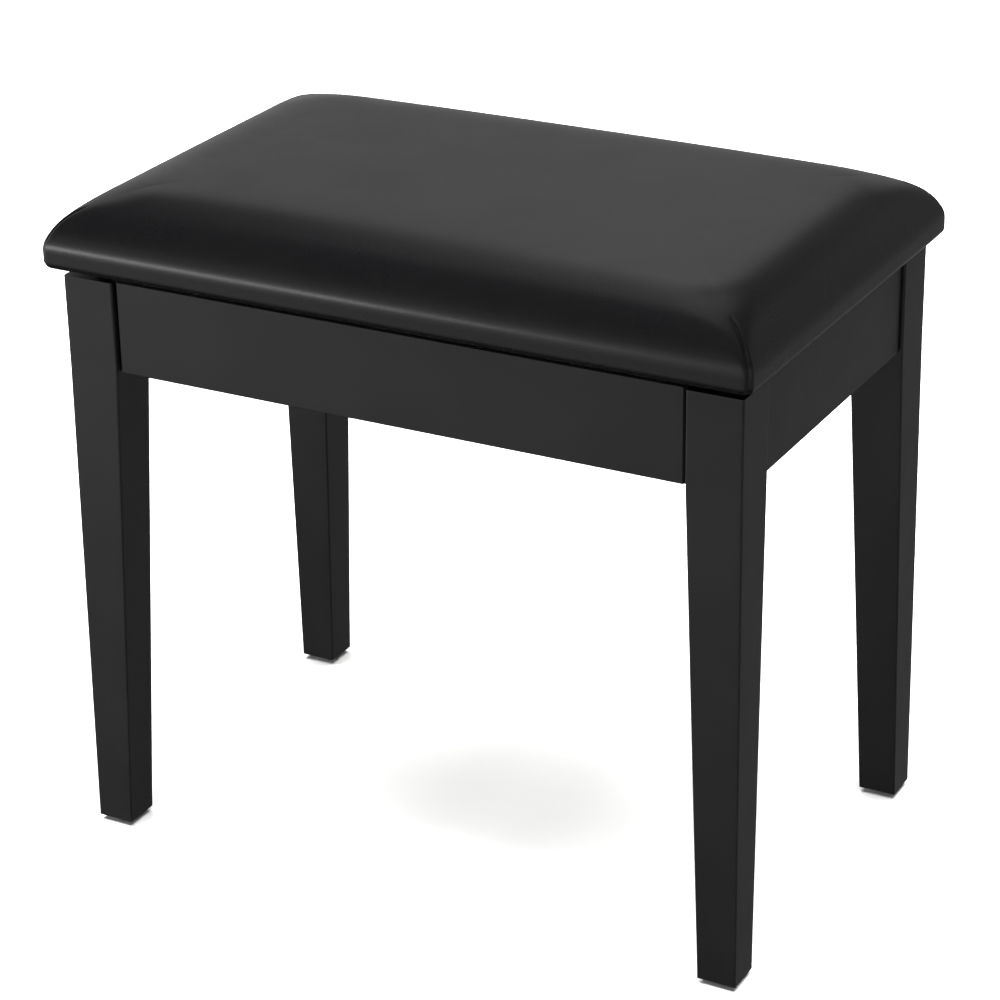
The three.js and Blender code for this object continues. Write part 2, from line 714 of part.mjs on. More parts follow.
for (const { name, sx } of sides) {
  const hingeX = sx * hingeSpacing / 2;
  const frameReach = pinY - apronInnerY - 1;
  const frameLeaf = makeLeaf(
    frameReach,
    frameLeafBottom - pinZ,
    [-1, 1],
    [0],
    frameScrewY - pinY,
    true,
  );
  const lidLeaf = makeLeaf(
    lidLeafReach,
    lidLeafBottom - pinZ,
    [0],
    [-1, 1],
    lidScrewY - pinY,
    false,
  );
  frame.add(piece(`hinge_frame_leaf_${name}`, frameLeaf, zincSteel(), hingeX, pinY, pinZ));
  frame.add(piece(`hinge_pin_${name}`, makePin(), zincSteel(), hingeX, pinY, pinZ));
  lid.add(piece(`hinge_lid_leaf_${name}`, lidLeaf, zincSteel(), hingeX, pinY, pinZ));
  hingeScrewOffsets.forEach((offset, index) => {
    const x = hingeX + offset;
    const frameScrew = makeHingeScrew();
    const frameName = `hinge_frame_screw_${name}_${index + 1}`;
    frame.add(piece(frameName, frameScrew, zincSteel(), x, frameScrewY, frameLeafTop));
    const lidScrew = makeHingeScrew().rotateX(Math.PI);
    const lidName = `hinge_lid_screw_${name}_${index + 1}`;
    lid.add(piece(lidName, lidScrew, zincSteel(), x, lidScrewY, lidLeafBottom));
  });

  const hole = stayStudRadius + touchGap;
  const lowerArm = makeArm(elbow.y - framePivot.y, elbow.z - framePivot.z, hole);
  const upperArm = makeArm(elbow.y - lidPivot.y, elbow.z - lidPivot.z, hole);
  const lowerX = layerStart(sx, lowerArmLayer);
  const upperX = layerStart(sx, upperArmLayer);
  frame.add(piece(
    `stay_frame_plate_${name}`, makeFramePlate(sx), zincSteel(), 0, framePivot.y, framePivot.z,
  ));
  frame.add(piece(
    `stay_lower_arm_${name}`, lowerArm, zincSteel(), lowerX, framePivot.y, framePivot.z,
  ));
  frame.add(piece(`stay_elbow_rivet_${name}`, makeRivet(sx), zincSteel(), 0, elbow.y, elbow.z));
  lid.add(piece(`stay_upper_arm_${name}`, upperArm, zincSteel(), upperX, lidPivot.y, lidPivot.z));
  lid.add(piece(
    `stay_lid_bracket_${name}`, makeLidBracket(sx), zincSteel(), 0, lidPivot.y, lidPivot.z,
  ));
}

const bench = new THREE.Group();
bench.add(frame, lid);

export default bench;
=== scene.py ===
"""Piano bench with a padded leather seat lid over a shallow music compartment.

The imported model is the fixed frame: legs, aprons, braces, hinges and lid stays keep their places
and shapes and get their finishes here. The soft pieces and the small hardware are rebuilt in
detail. Metres, +Z up, the front towards -Y, the hinges towards +Y, the floor at Z = 0.
"""

import logging
import math
from dataclasses import dataclass
from enum import Enum

import bpy
import numpy as np
from mathutils import Matrix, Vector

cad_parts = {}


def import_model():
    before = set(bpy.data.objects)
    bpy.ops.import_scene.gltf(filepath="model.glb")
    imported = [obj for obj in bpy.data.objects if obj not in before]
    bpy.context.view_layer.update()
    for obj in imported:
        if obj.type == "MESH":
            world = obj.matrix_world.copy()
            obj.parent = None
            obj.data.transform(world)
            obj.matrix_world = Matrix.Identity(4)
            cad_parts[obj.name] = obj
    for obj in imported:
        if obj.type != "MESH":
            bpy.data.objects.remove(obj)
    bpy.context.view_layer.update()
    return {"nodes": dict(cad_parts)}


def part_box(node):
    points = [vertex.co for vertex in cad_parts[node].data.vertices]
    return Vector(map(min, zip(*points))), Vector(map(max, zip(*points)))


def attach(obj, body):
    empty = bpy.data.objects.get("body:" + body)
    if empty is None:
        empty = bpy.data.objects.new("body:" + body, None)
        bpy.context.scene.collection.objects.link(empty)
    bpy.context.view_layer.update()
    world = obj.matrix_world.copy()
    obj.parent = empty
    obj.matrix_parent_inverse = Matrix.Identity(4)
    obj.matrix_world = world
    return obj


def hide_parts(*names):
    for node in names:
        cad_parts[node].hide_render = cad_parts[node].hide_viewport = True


MM = 0.001
LOG = logging.getLogger("piano_bench")


# ------------------------------------------------------------------ choices


class Grain(Enum):
    """The direction in which the wood grain of a board runs."""

    ALONG_X = 0
    ALONG_Y = 1
    ALONG_Z = 2


# ------------------------------------------------------------------ meshes


def make_piece(
    name: str, points: np.ndarray, faces: list[np.ndarray] | np.ndarray, crease_degrees: float = 180
) -> bpy.types.Object:
    """Makes a mesh object at the origin from whole arrays, shaded smooth.

    Args:
        name: the piece's name.
        points: N x 3 places in metres.
        faces: vertex numbers, counter-clockwise from outside, as one array or several.
        crease_degrees: edges that turn by more than this are sharp.

    Returns:
        The new object.
    """
    blocks = [faces] if isinstance(faces, np.ndarray) else faces
    mesh = bpy.data.meshes.new(name)
    corners = [face for block in blocks for face in block.tolist()]
    mesh.from_pydata(points.reshape(-1, 3).tolist(), [], corners)
    mesh.polygons.foreach_set("use_smooth", np.ones(len(mesh.polygons), bool))
    if crease_degrees < 180:
        mesh.set_sharp_from_angle(angle=math.radians(crease_degrees))
    mesh.update()
    piece = bpy.data.objects.new(name, mesh)
    bpy.context.scene.collection.objects.link(piece)
    return piece


def finish_piece(piece: bpy.types.Object, body: str, material: bpy.types.Material) -> None:
    """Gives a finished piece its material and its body.

    Args:
        piece: the piece, in place.
        body: the body that it moves with.
        material: the material that covers it.
    """
    piece.data.materials.clear()
    piece.data.materials.append(material)
    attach(piece, body)


def grid_faces(rows: int, columns: int, closed: bool = False) -> np.ndarray:
    """Quads over a grid of vertices numbered row by row.

    Args:
        rows: number of rows of vertices.
        columns: number of vertices in a row.
        closed: whether each row joins up with its own start.

    Returns:
        Quads as an M x 4 array.
    """
    row = np.arange(rows - 1)[:, None] * columns
    column = np.arange(columns if closed else columns - 1)[None, :]
    after = (column + 1) % columns
    quads = np.stack([row + column, row + after, row + columns + after, row + columns + column], -1)
    return quads.reshape(-1, 4)


def border_loop(rows: int, columns: int) -> np.ndarray:
    """The border of a grid, counter-clockwise when X runs along a row and Y from row to row.

    Args:
        rows: number of rows of vertices.
        columns: number of vertices in a row.

    Returns:
        Vertex numbers, each once.
    """
    bottom = np.arange(columns - 1)
    right = np.arange(rows - 1) * columns + columns - 1
    top = (rows - 1) * columns + np.arange(columns - 1, 0, -1)
    left = np.arange(rows - 1, 0, -1) * columns
    return np.concatenate([bottom, right, top, left])


def join(parts: list[tuple[np.ndarray, list[np.ndarray]]]) -> tuple[np.ndarray, list[np.ndarray]]:
    """Puts several closed shells into one.

    Args:
        parts: points and face blocks of each shell.

    Returns:
        All the points, and all the face blocks renumbered.
    """
    starts = np.cumsum([0] + [len(points) for points, _ in parts[:-1]])
    blocks = [block + start for (_, faces), start in zip(parts, starts) for block in faces]
    return np.concatenate([points for points, _ in parts]), blocks


def lathe(radius: np.ndarray, height: np.ndarray) -> tuple[np.ndarray, list[np.ndarray]]:
    """A closed shell round the Z axis: (r cos t, r sin t, h), t evenly round, with flat ends.

    Args:
        radius: rows x sides distances from the axis, rows from the bottom up.
        height: one height for each row, or rows x sides heights.

    Returns:
        Points and face blocks.
    """
    rows, sides = radius.shape
    turn = np.arange(sides) / sides * 2 * math.pi
    tall = np.broadcast_to(height if height.ndim == 2 else height[:, None], radius.shape)
    points = np.stack([radius * np.cos(turn), radius * np.sin(turn), tall], -1).reshape(-1, 3)
    bottom = np.arange(sides)[::-1][None, :]
    top = ((rows - 1) * sides + np.arange(sides))[None, :]
    return points, [grid_faces(rows, sides, closed=True), bottom, top]


def turned(profile: list[tuple[float, float]], sides: int) -> tuple[np.ndarray, list[np.ndarray]]:
    """A turned shape round the Z axis.

    Args:
        profile: (radius, height) from the bottom up.
        sides: faces round it.

    Returns:
        Points and face blocks.
    """
    rows = np.array(profile)
    return lathe(np.repeat(rows[:, :1], sides, axis=1), rows[:, 1])


def aimed(points: np.ndarray, place: np.ndarray, axis: tuple[float, float, float]) -> np.ndarray:
    """Turns points from the Z axis to another one and moves them.

    Args:
        points: N x 3 points about the Z axis.
        place: where the origin goes.
        axis: where +Z goes.

    Returns:
        The new points.
    """
    along = np.array(axis) / np.linalg.norm(axis)
    spare = np.array([1.0, 0, 0]) if abs(along[0]) < 0.6 else np.array([0, 1.0, 0])
    first = np.cross(spare, along)
    first /= np.linalg.norm(first)
    second = np.cross(along, first)
    return points @ np.stack([first, second, along]) + place


def vertex_normals(points: np.ndarray, faces: np.ndarray) -> np.ndarray:
    """Unit normals at the vertices: the sum of the crossed diagonals of the quads round each.

    Args:
        points: N x 3 places.
        faces: M x 4 vertex numbers.

    Returns:
        N x 3 unit vectors.
    """
    corners = points[faces]
    facing = np.cross(corners[:, 2] - corners[:, 0], corners[:, 3] - corners[:, 1])
    total = np.zeros_like(points)
    np.add.at(total, faces.ravel(), np.repeat(facing, 4, axis=0))
    return total / np.maximum(np.linalg.norm(total, axis=1, keepdims=True), 1e-12)


def node_box(node: str) -> tuple[np.ndarray, np.ndarray]:
    """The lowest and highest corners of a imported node, as arrays."""
    return tuple(np.array(corner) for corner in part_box(node))


def smoothstep(low: float, high: float, value: np.ndarray) -> np.ndarray:
    """Rises from 0 at `low` to 1 at `high` as 3t^2 - 2t^3.

    Args:
        low: where it starts; it may lie above `high`, and then it falls.
        high: where it ends.
        value: the values to read it at.

    Returns:
        Values from 0 to 1.
    """
    t = np.clip((value - low) / (high - low), 0, 1)
    return t * t * (3 - 2 * t)


# ------------------------------------------------------------------ finishes


def linear(code: str) -> tuple[float, float, float, float]:
    """An sRGB hex colour as linear RGBA.

    Args:
        code: six hex digits.

    Returns:
        Red, green, blue and 1.
    """
    srgb = np.array([int(code[i:i + 2], 16) for i in (0, 2, 4)]) / 255
    rgb = np.where(srgb <= 0.04045, srgb / 12.92, ((srgb + 0.055) / 1.055) ** 2.4)
    return (*rgb.tolist(), 1.0)


def add_node(
    tree: bpy.types.NodeTree, kind: str, inputs: dict | None = None, **settings: object
) -> bpy.types.Node:
    """Adds a node with its settings and links.

    Args:
        tree: the node tree.
        kind: the node's type name.
        inputs: input socket to a value, or to the output socket that feeds it.
        settings: the node's own settings.

    Returns:
        The new node.
    """
    node = tree.nodes.new(kind)
    for name, value in settings.items():
        setattr(node, name, value)
    for name, value in (inputs or {}).items():
        if isinstance(value, bpy.types.NodeSocket):
            tree.links.new(value, node.inputs[name])
        else:
            node.inputs[name].default_value = value
    return node


def new_material(name: str) -> tuple[bpy.types.Material, bpy.types.NodeTree]:
    """An empty node material.

    Args:
        name: the material's name.

    Returns:
        The material and its tree.
    """
    material = bpy.data.materials.new(name)
    material.use_nodes = True
    material.node_tree.nodes.clear()
    return material, material.node_tree


def object_pattern(tree: bpy.types.NodeTree, size: tuple[float, float, float]) -> bpy.types.NodeSocket:
    """Object coordinates counted in pattern cells of a real size.

    Args:
        tree: the node tree.
        size: the cell's size along X, Y and Z, in metres.

    Returns:
        The vector output.
    """
    place = add_node(tree, "ShaderNodeTexCoord")
    scale = tuple(1 / length for length in size)
    mapping = add_node(tree, "ShaderNodeMapping", {"Vector": place.outputs["Object"], "Scale": scale})
    return mapping.outputs["Vector"]


def finish_shader(
    tree: bpy.types.NodeTree, inputs: dict, height: bpy.types.NodeSocket, relief: float
) -> None:
    """Ends a material in a principled shader with a bump of a real height.

    Args:
        tree: the node tree.
        inputs: the shader's inputs.
        height: the pattern of the relief, from 0 to 1.
        relief: the relief's height in metres.
    """
    bump = add_node(tree, "ShaderNodeBump", {"Height": height, "Distance": relief, "Strength": 1.0})
    shader = add_node(tree, "ShaderNodeBsdfPrincipled", {**inputs, "Normal": bump.outputs["Normal"]})
    add_node(tree, "ShaderNodeOutputMaterial", {"Surface": shader.outputs["BSDF"]})


def noise(
    tree: bpy.types.NodeTree, size: tuple[float, float, float], detail: float
) -> bpy.types.NodeSocket:
    """Smooth noise, from 0 to 1.

    Args:
        tree: the node tree.
        size: the size of its cells along X, Y and Z, in metres.
        detail: how many finer layers it has.

    Returns:
        The noise.
    """
    inputs = {"Vector": object_pattern(tree, size), "Scale": 1.0, "Detail": detail}
    return add_node(tree, "ShaderNodeTexNoise", inputs).outputs["Fac"]


def blended(
    tree: bpy.types.NodeTree, factor: bpy.types.NodeSocket, first: str, second: str
) -> bpy.types.NodeSocket:
    """A colour between two others.

    Args:
        tree: the node tree.
        factor: 0 for the first colour and 1 for the second.
        first: an sRGB hex colour.
        second: another.

    Returns:
        The colour.
    """
    inputs = {"Factor": factor, 6: linear(first), 7: linear(second)}
    return add_node(tree, "ShaderNodeMix", inputs, data_type="RGBA").outputs[2]


def spread_roughness(
    tree: bpy.types.NodeTree, pattern: bpy.types.NodeSocket, middle: float, spread: float
) -> bpy.types.NodeSocket:
    """A roughness that a noise moves about its middle value.

    Args:
        tree: the node tree.
        pattern: the noise.
        middle: the middle value.
        spread: whole width of the change.

    Returns:
        The roughness.
    """
    limits = {
        "Value": pattern, "From Min": 0.3, "From Max": 0.7,
        "To Min": middle - spread / 2, "To Max": middle + spread / 2,
    }
    return add_node(tree, "ShaderNodeMapRange", limits).outputs["Result"]


@dataclass(frozen=True)
class SatinLacquer:
    """Black satin nitrocellulose lacquer, sprayed over sanded hardwood.

    The eye sees an even soft sheen with a faint orange peel, and under it the long pores of the
    wood as a very shallow relief.
    """

    name: str = "satin_black_lacquer"
    colour: str = "09090a"
    worn_colour: str = "0f0f10"
    roughness: float = 0.36
    roughness_spread: float = 0.06
    ior: float = 1.46
    pore_length: float = 30 * MM
    pore_width: float = 0.9 * MM
    peel_size: float = 2.2 * MM
    peel_share: float = 0.45            # of the relief
    cloud_size: float = 60 * MM
    relief: float = 0.012 * MM

    def build(self, grain: Grain) -> bpy.types.Material:
        """The material for a board whose grain runs in one direction.

        Args:
            grain: the direction of the grain.

        Returns:
            The material.
        """
        material, tree = new_material(f"{self.name}_{grain.name.lower()}")
        size = [self.pore_width] * 3
        size[grain.value] = self.pore_length
        pores = noise(tree, tuple(size), 4.0)
        peel = noise(tree, (self.peel_size,) * 3, 1.0)
        cloud = noise(tree, (self.cloud_size,) * 3, 3.0)
        mixed = {"Factor": self.peel_share, "A": pores, "B": peel}
        height = add_node(tree, "ShaderNodeMix", mixed).outputs["Result"]
        inputs = {
            "Base Color": blended(tree, cloud, self.colour, self.worn_colour),
            "Roughness": spread_roughness(tree, cloud, self.roughness, self.roughness_spread),
            "IOR": self.ior,
        }
        finish_shader(tree, inputs, height, self.relief)
        return material


@dataclass(frozen=True)
class CoatedLeather:
    """Black polyurethane-coated leather, embossed with a fine pebble grain.

    The eye sees a smooth satin skin whose reflections are soft, with small shallow pebbles.
    """

    name: str = "coated_leather"
    colour: str = "09090a"
    roughness: float = 0.28
    roughness_spread: float = 0.05
    ior: float = 1.4
    pebble: float = 1.3 * MM
    stretch_size: float = 45 * MM
    relief: float = 0.02 * MM

    def build(self) -> bpy.types.Material:
        """The material.

        Returns:
            The material.
        """
        material, tree = new_material(self.name)
        cells = {"Vector": object_pattern(tree, (self.pebble,) * 3), "Scale": 1.0, "Smoothness": 0.6}
        pebbles = add_node(tree, "ShaderNodeTexVoronoi", cells, feature="SMOOTH_F1").outputs["Distance"]
        stretch = noise(tree, (self.stretch_size,) * 3, 3.0)
        inputs = {
            "Base Color": linear(self.colour),
            "Roughness": spread_roughness(tree, stretch, self.roughness, self.roughness_spread),
            "IOR": self.ior,
        }
        finish_shader(tree, inputs, pebbles, self.relief)
        return material


@dataclass(frozen=True)
class Plywood:
    """Poplar plywood, rotary peeled and glued: pale wood with long grain, and plies at its edges."""

    name: str = "poplar_plywood"
    pale: str = "cdb389"
    dark: str = "a98a5e"
    ply: float = 1.8 * MM
    grain_length: float = 90 * MM
    grain_width: float = 3 * MM
    relief: float = 0.05 * MM

    def build(self) -> bpy.types.Material:
        """The material.

        Returns:
            The material.
        """
        material, tree = new_material(self.name)
        grain = noise(tree, (self.grain_length, self.grain_width, self.ply), 5.0)
        inputs = {
            "Base Color": blended(tree, grain, self.dark, self.pale),
            "Roughness": spread_roughness(tree, grain, 0.68, 0.1),
        }
        finish_shader(tree, inputs, grain, self.relief)
        return material


@dataclass(frozen=True)
class OpenFoam:
    """Open-cell polyurethane foam, cut from a block: cream, matt and full of small cells."""

    name: str = "polyurethane_foam"
    pale: str = "e6dcb8"
    dark: str = "c9bb8c"
    cell: float = 1.2 * MM
    relief: float = 0.3 * MM

    def build(self) -> bpy.types.Material:
        """The material.

        Returns:
            The material.
        """
        material, tree = new_material(self.name)
        pattern = {"Vector": object_pattern(tree, (self.cell,) * 3), "Scale": 1.0}
        cells = add_node(tree, "ShaderNodeTexVoronoi", pattern).outputs["Distance"]
        inputs = {"Base Color": blended(tree, cells, self.dark, self.pale), "Roughness": 0.95}
        finish_shader(tree, inputs, cells, self.relief)
        return material


@dataclass(frozen=True)
class NonWoven:
    """Black spun-bonded polypropylene: matt fibres, pressed together in a grid of small points."""

    name: str = "spun_bonded_polypropylene"
    dark: str = "0e0e0f"
    pale: str = "232325"
    bond: float = 1.6 * MM
    fibre_length: float = 6 * MM
    fibre_width: float = 0.35 * MM
    relief: float = 0.06 * MM

    def build(self) -> bpy.types.Material:
        """The material.

        Returns:
            The material.
        """
        material, tree = new_material(self.name)
        grid = {"Vector": object_pattern(tree, (self.bond,) * 3), "Scale": 1.0, "Randomness": 0.0}
        bonds = add_node(tree, "ShaderNodeTexVoronoi", grid).outputs["Distance"]
        fibres = noise(tree, (self.fibre_length, self.fibre_width, self.fibre_width), 3.0)
        mixed = {"Factor": 0.5, "A": bonds, "B": fibres}
        height = add_node(tree, "ShaderNodeMix", mixed).outputs["Result"]
        inputs = {
            "Base Color": blended(tree, height, self.dark, self.pale),
            "Roughness": 0.9,
            "Sheen Weight": 0.15,
        }
        finish_shader(tree, inputs, height, self.relief)
        return material


@dataclass(frozen=True)
class ZincPlate:
    """Bright zinc plate on pressed and turned steel: a greyish metal, faintly clouded and scuffed."""

    name: str = "zinc_plated_steel"
    bright: str = "c3c6c9"
    dull: str = "8f9396"
    roughness: float = 0.34
    cloud: float = 5 * MM
    scuff_length: float = 7 * MM
    scuff_width: float = 0.25 * MM
    relief: float = 0.01 * MM

    def build(self) -> bpy.types.Material:
        """The material.

        Returns:
            The material.
        """
        material, tree = new_material(self.name)
        clouds = noise(tree, (self.cloud,) * 3, 4.0)
        scuffs = noise(tree, (self.scuff_width, self.scuff_length, self.scuff_length), 2.0)
        inputs = {
            "Base Color": blended(tree, clouds, self.dull, self.bright),
            "Metallic": 1.0,
            "Roughness": spread_roughness(tree, scuffs, self.roughness, 0.14),
        }
        finish_shader(tree, inputs, scuffs, self.relief)
        return material


@dataclass(frozen=True)
class MouldedBlack:
    """A black moulded part, of rubber or nylon: even, matt, with the fine speckle of its mould."""

    name: str
    colour: str
    pale: str
    roughness: float
    ior: float
    speckle: float = 0.8 * MM
    relief: float = 0.03 * MM

    def build(self) -> bpy.types.Material:
        """The material.

        Returns:
            The material.
        """
        material, tree = new_material(self.name)
        speckle = noise(tree, (self.speckle,) * 3, 3.0)
        inputs = {
            "Base Color": blended(tree, speckle, self.colour, self.pale),
            "Roughness": spread_roughness(tree, speckle, self.roughness, 0.1),
            "IOR": self.ior,
        }
        finish_shader(tree, inputs, speckle, self.relief)
        return material


# ------------------------------------------------------------------ seat lid


@dataclass
class PadShape:
    """A flat-bottomed body whose plan is a rectangle with round corners.

    A point's plan place is given by its inset from the two nearest sides. Within `zone` of the
    sides, a = 1 - inset / zone along X and b along Y. Points of one height lie on the curve
    (a^p + b^p)^(1/p) = m, where m = 1 - section inset / zone and p falls from `corner_power` on
    the outline, where the corner is tight, to 2.5 on the top, where it is wide.
    """

    half_x: float
    half_y: float
    zone: float
    corner_power: float
    centre: tuple[float, float] = (0.0, 0.0)

    def spread(self, level: np.ndarray, a: np.ndarray, b: np.ndarray) -> tuple[np.ndarray, np.ndarray]:
        """Moves points of a square ring on to the round-cornered curve of their level.

        Args:
            level: m of each point.
            a: the point's share of the zone along X, 1 on the outline.
            b: the same along Y.

        Returns:
            The shares along X and Y on the curve.
        """
        power = 2.5 + self.corner_power * np.clip(2 * level - 1, 0, None) ** 4
        length = np.maximum(np.maximum(a, b), 1e-9)
        norm = np.maximum(((a / length) ** power + (b / length) ** power) ** (1 / power), 1e-9)
        return a / length / norm * level, b / length / norm * level

    def place(self, x: np.ndarray, y: np.ndarray, level: np.ndarray | None = None) -> np.ndarray:
        """Plan places of grid points, with round corners.

        Args:
            x: signed distances from the middle along X.
            y: signed distances from the middle along Y.
            level: m of each point, or None for the level that the grid itself gives.

        Returns:
            N x 2 places.
        """
        a = np.clip(1 - (self.half_x - np.abs(x)) / self.zone, 0, None)
        b = np.clip(1 - (self.half_y - np.abs(y)) / self.zone, 0, None)
        own = np.maximum(a, b)
        a2, b2 = self.spread(own if level is None else level, a, b)
        px = np.where(a > 0, np.sign(x) * (self.half_x - self.zone * (1 - a2)), x)
        py = np.where(b > 0, np.sign(y) * (self.half_y - self.zone * (1 - b2)), y)
        return np.stack([px + self.centre[0], py + self.centre[1]], -1)

    def lines(self, half: float, insets: np.ndarray, step: float) -> np.ndarray:
        """Grid lines across the pad: the given insets at both sides and even steps between.

        Args:
            half: half the pad's size.
            insets: insets from the side, rising.
            step: longest step in the middle.

        Returns:
            Signed distances from the middle, rising.
        """
        inner = half - insets[-1]
        middle = np.linspace(-inner, inner, max(2, math.ceil(2 * inner / step) + 1))
        return np.concatenate([insets - half, middle[1:-1], (half - insets)[::-1]])

    def body(
        self, top: np.ndarray, below: np.ndarray, step: float, cap: bool
    ) -> tuple[np.ndarray, np.ndarray, tuple[int, int]]:
        """The body's surface: a grid over the top and rings down its sides.

        Args:
            top: (inset, height) of the section over the top, from the split inwards.
            below: (inset, height) of the section from under the split down and round.
            step: longest step between the grid lines in the middle.
            cap: whether a flat grid closes the last ring.

        Returns:
            Points, quads, and the top grid's rows and columns.
        """
        xs = self.lines(self.half_x, top[:, 0], step)
        ys = self.lines(self.half_y, top[:, 0], step)
        x, y = (g.ravel() for g in np.meshgrid(xs, ys))
        rows, columns = len(ys), len(xs)
        inset = np.minimum(self.half_x - np.abs(x), self.half_y - np.abs(y))
        height = np.interp(inset, top[:, 0], top[:, 1])
        plan = self.place(x, y)
        crown_points = np.column_stack([plan, height])
        loop = border_loop(rows, columns)
        count = len(loop)
        ones = np.ones(count)
        rings = [
            np.column_stack([self.place(x[loop], y[loop], ones * (1 - i / self.zone)), ones * z])
            for i, z in below
        ]
        points = np.concatenate([crown_points, *rings])
        numbers = np.concatenate([loop, rows * columns + np.arange(count * len(rings))])
        side = numbers[grid_faces(len(rings) + 1, count, closed=True)][:, ::-1]
        faces = [grid_faces(rows, columns), side]
        if cap:
            last = np.arange(rows * columns) + len(points)
            last[loop] = rows * columns + count * (len(rings) - 1) + np.arange(count)
            inner = np.setdiff1d(np.arange(rows * columns), loop)
            renumber = np.full(rows * columns, -1)
            renumber[inner] = len(points) + np.arange(len(inner))
            renumber[loop] = last[loop]
            flat = np.column_stack([plan[inner], np.full(len(inner), below[-1, 1])])
            points = np.concatenate([points, flat])
            faces.append(renumber[grid_faces(rows, columns)][:, ::-1])
        return points, np.concatenate(faces), (rows, columns)


@dataclass
class SeatLid:
    """The padded lid: a leather cover over foam on a plywood board, with a cloth underneath."""

    leather: float = 1.0 * MM
    lower_radius: float = 5 * MM        # leather's bend under the board's edge
    hem_width: float = 75 * MM          # leather turned under the board
    band_top: float = 12.5 * MM         # upright side, up to the board's top edge
    lean_height: float = 10 * MM        # side above it, leaning in
    lean_degrees: float = 24
    slope_length: float = 80 * MM       # along the section from the lean to where the top is flat
    slope_hold: float = 1.5             # how long the side stays steep
    slope_power: float = 3.2            # how early the section flattens
    crown: float = 4.0 * MM
    corner_power: float = 44
    board_corner_power: float = 14      # rounder than the cover, so that the folds have room
    split_inset: float = 9 * MM         # grid over the top starts here, rings end here
    swell_cap: float = 1.0 * MM         # simulated movement nears this and never passes it
    swell_start: float = 0.6 * MM       # simulation starts this much lower
    swell_window: float = 15 * MM       # spread of the window that reads the simulated movement
    swell_step: float = 6.5 * MM        # coarse copy's grid
    swell_pressure: float = 4.0
    swell_frames: int = 20
    cover_step: float = 1.25 * MM       # cover's grid along the section
    cover_longest: float = 9 * MM       # cover's grid over the flat top
    pleat_depth: float = 2.3 * MM
    pleat_width: float = 0.95 * MM
    pleat_reach: float = 39 * MM        # along the corner's diagonal, from the corner
    foam_gap: float = 0.4 * MM          # between the foam and the leather
    cloth_thickness: float = 0.22 * MM
    cloth_sag: float = 0.35 * MM
    cloth_pucker: float = 0.08 * MM     # ripple between the staples, at the cloth's edge
    staple_spacing: float = 45 * MM
    staple_inset: float = 6 * MM
    staple_length: float = 10 * MM
    staple_width: float = 1.2 * MM
    staple_height: float = 0.45 * MM

    def __post_init__(self) -> None:
        """Reads the lid's place from the frame."""
        self.low, self.high = node_box("seat_cover")
        size = self.high - self.low
        zone = max(self.section(self.cover_step)[-1, 0], self.hem_width + 10 * MM)
        self.shape = PadShape(size[0] / 2, size[1] / 2, zone, self.corner_power)

    def section(self, step: float) -> np.ndarray:
        """The cover's section, from the hem's inner edge round the side to the end of the slope.

        The surface's normal turns from straight down to level round the board's lower edge, stays
        level up the band, and leans back evenly to `lean_degrees`. From there its tilt from the
        vertical dies away as (1 - (s / slope_length)^slope_hold)^slope_power over the arc length
        s, and the places are the running sums of the tilt's cosine and sine.

        Args:
            step: distance between points along the section.

        Returns:
            (inset, height above the lid's underside), from the hem to the top.
        """
        r = self.lower_radius
        bend = np.radians(np.linspace(-90, 0, max(5, round(math.pi / 2 * r / step) + 1)))
        lean = math.radians(self.lean_degrees)
        along_lean = np.linspace(0, lean, max(3, round(self.lean_height / step) + 1))
        lean_radius = self.lean_height / math.sin(lean)
        hem = np.linspace(self.hem_width, r, max(3, round(self.hem_width / step / 3)))[:-1]
        lower = np.column_stack([np.concatenate([hem, r - r * np.cos(bend)]),
                                 np.concatenate([np.zeros(len(hem)), r + r * np.sin(bend)])])
        band = np.linspace(r, self.band_top, max(2, round((self.band_top - r) / step) + 1))[1:]
        upright = np.column_stack([np.zeros(len(band)), band])
        leaned = np.column_stack([
            lean_radius * (1 - np.cos(along_lean)),
            self.band_top + lean_radius * np.sin(along_lean),
        ])[1:]
        # Steps grow from a third of `step` on the roll, where the folds are, to nearly double.
        share = np.linspace(0, 1, max(8, round(self.slope_length / step * 1.05)))
        arc = self.slope_length * (0.3 * share + 0.7 * share**2)
        fine_arc = np.linspace(0, self.slope_length, 2000)
        left = 1 - (fine_arc / self.slope_length) ** self.slope_hold
        tilt = (math.pi / 2 - lean) * left**self.slope_power
        part = fine_arc[1]
        over = np.concatenate([[0], np.cumsum(np.cos(tilt[:-1] + np.diff(tilt) / 2)) * part])
        up = np.concatenate([[0], np.cumsum(np.sin(tilt[:-1] + np.diff(tilt) / 2)) * part])
        slope = np.column_stack([np.interp(arc, fine_arc, over), np.interp(arc, fine_arc, up)])[1:]
        return np.concatenate([lower, upright, leaned, leaned[-1] + slope])

    def split(self, section: np.ndarray) -> tuple[np.ndarray, np.ndarray]:
        """Splits the section near the middle of the roll.

        Args:
            section: the section, from the hem to the top.

        Returns:
            The top's part, and the sides' part from the roll down.
        """
        inset = self.split_inset
        top = section[(section[:, 0] > inset) & (section[:, 1] > self.band_top)]
        below = section[(section[:, 0] <= inset) | (section[:, 1] <= self.band_top)][::-1]
        return top, below

    def crowned(self, points: np.ndarray) -> np.ndarray:
        """Height that the crown adds: crown times (1 - |x/X|^3) times (1 - |y/Y|^8).

        Args:
            points: the surface.

        Returns:
            A height for each point.
        """
        x, y = points[:, 0] / self.shape.half_x, points[:, 1] / self.shape.half_y
        lift = np.clip(1 - np.abs(x) ** 3, 0, 1) * np.clip(1 - np.abs(y) ** 8, 0, 1)
        return self.crown * lift * smoothstep(self.band_top, 3 * self.band_top, points[:, 2])

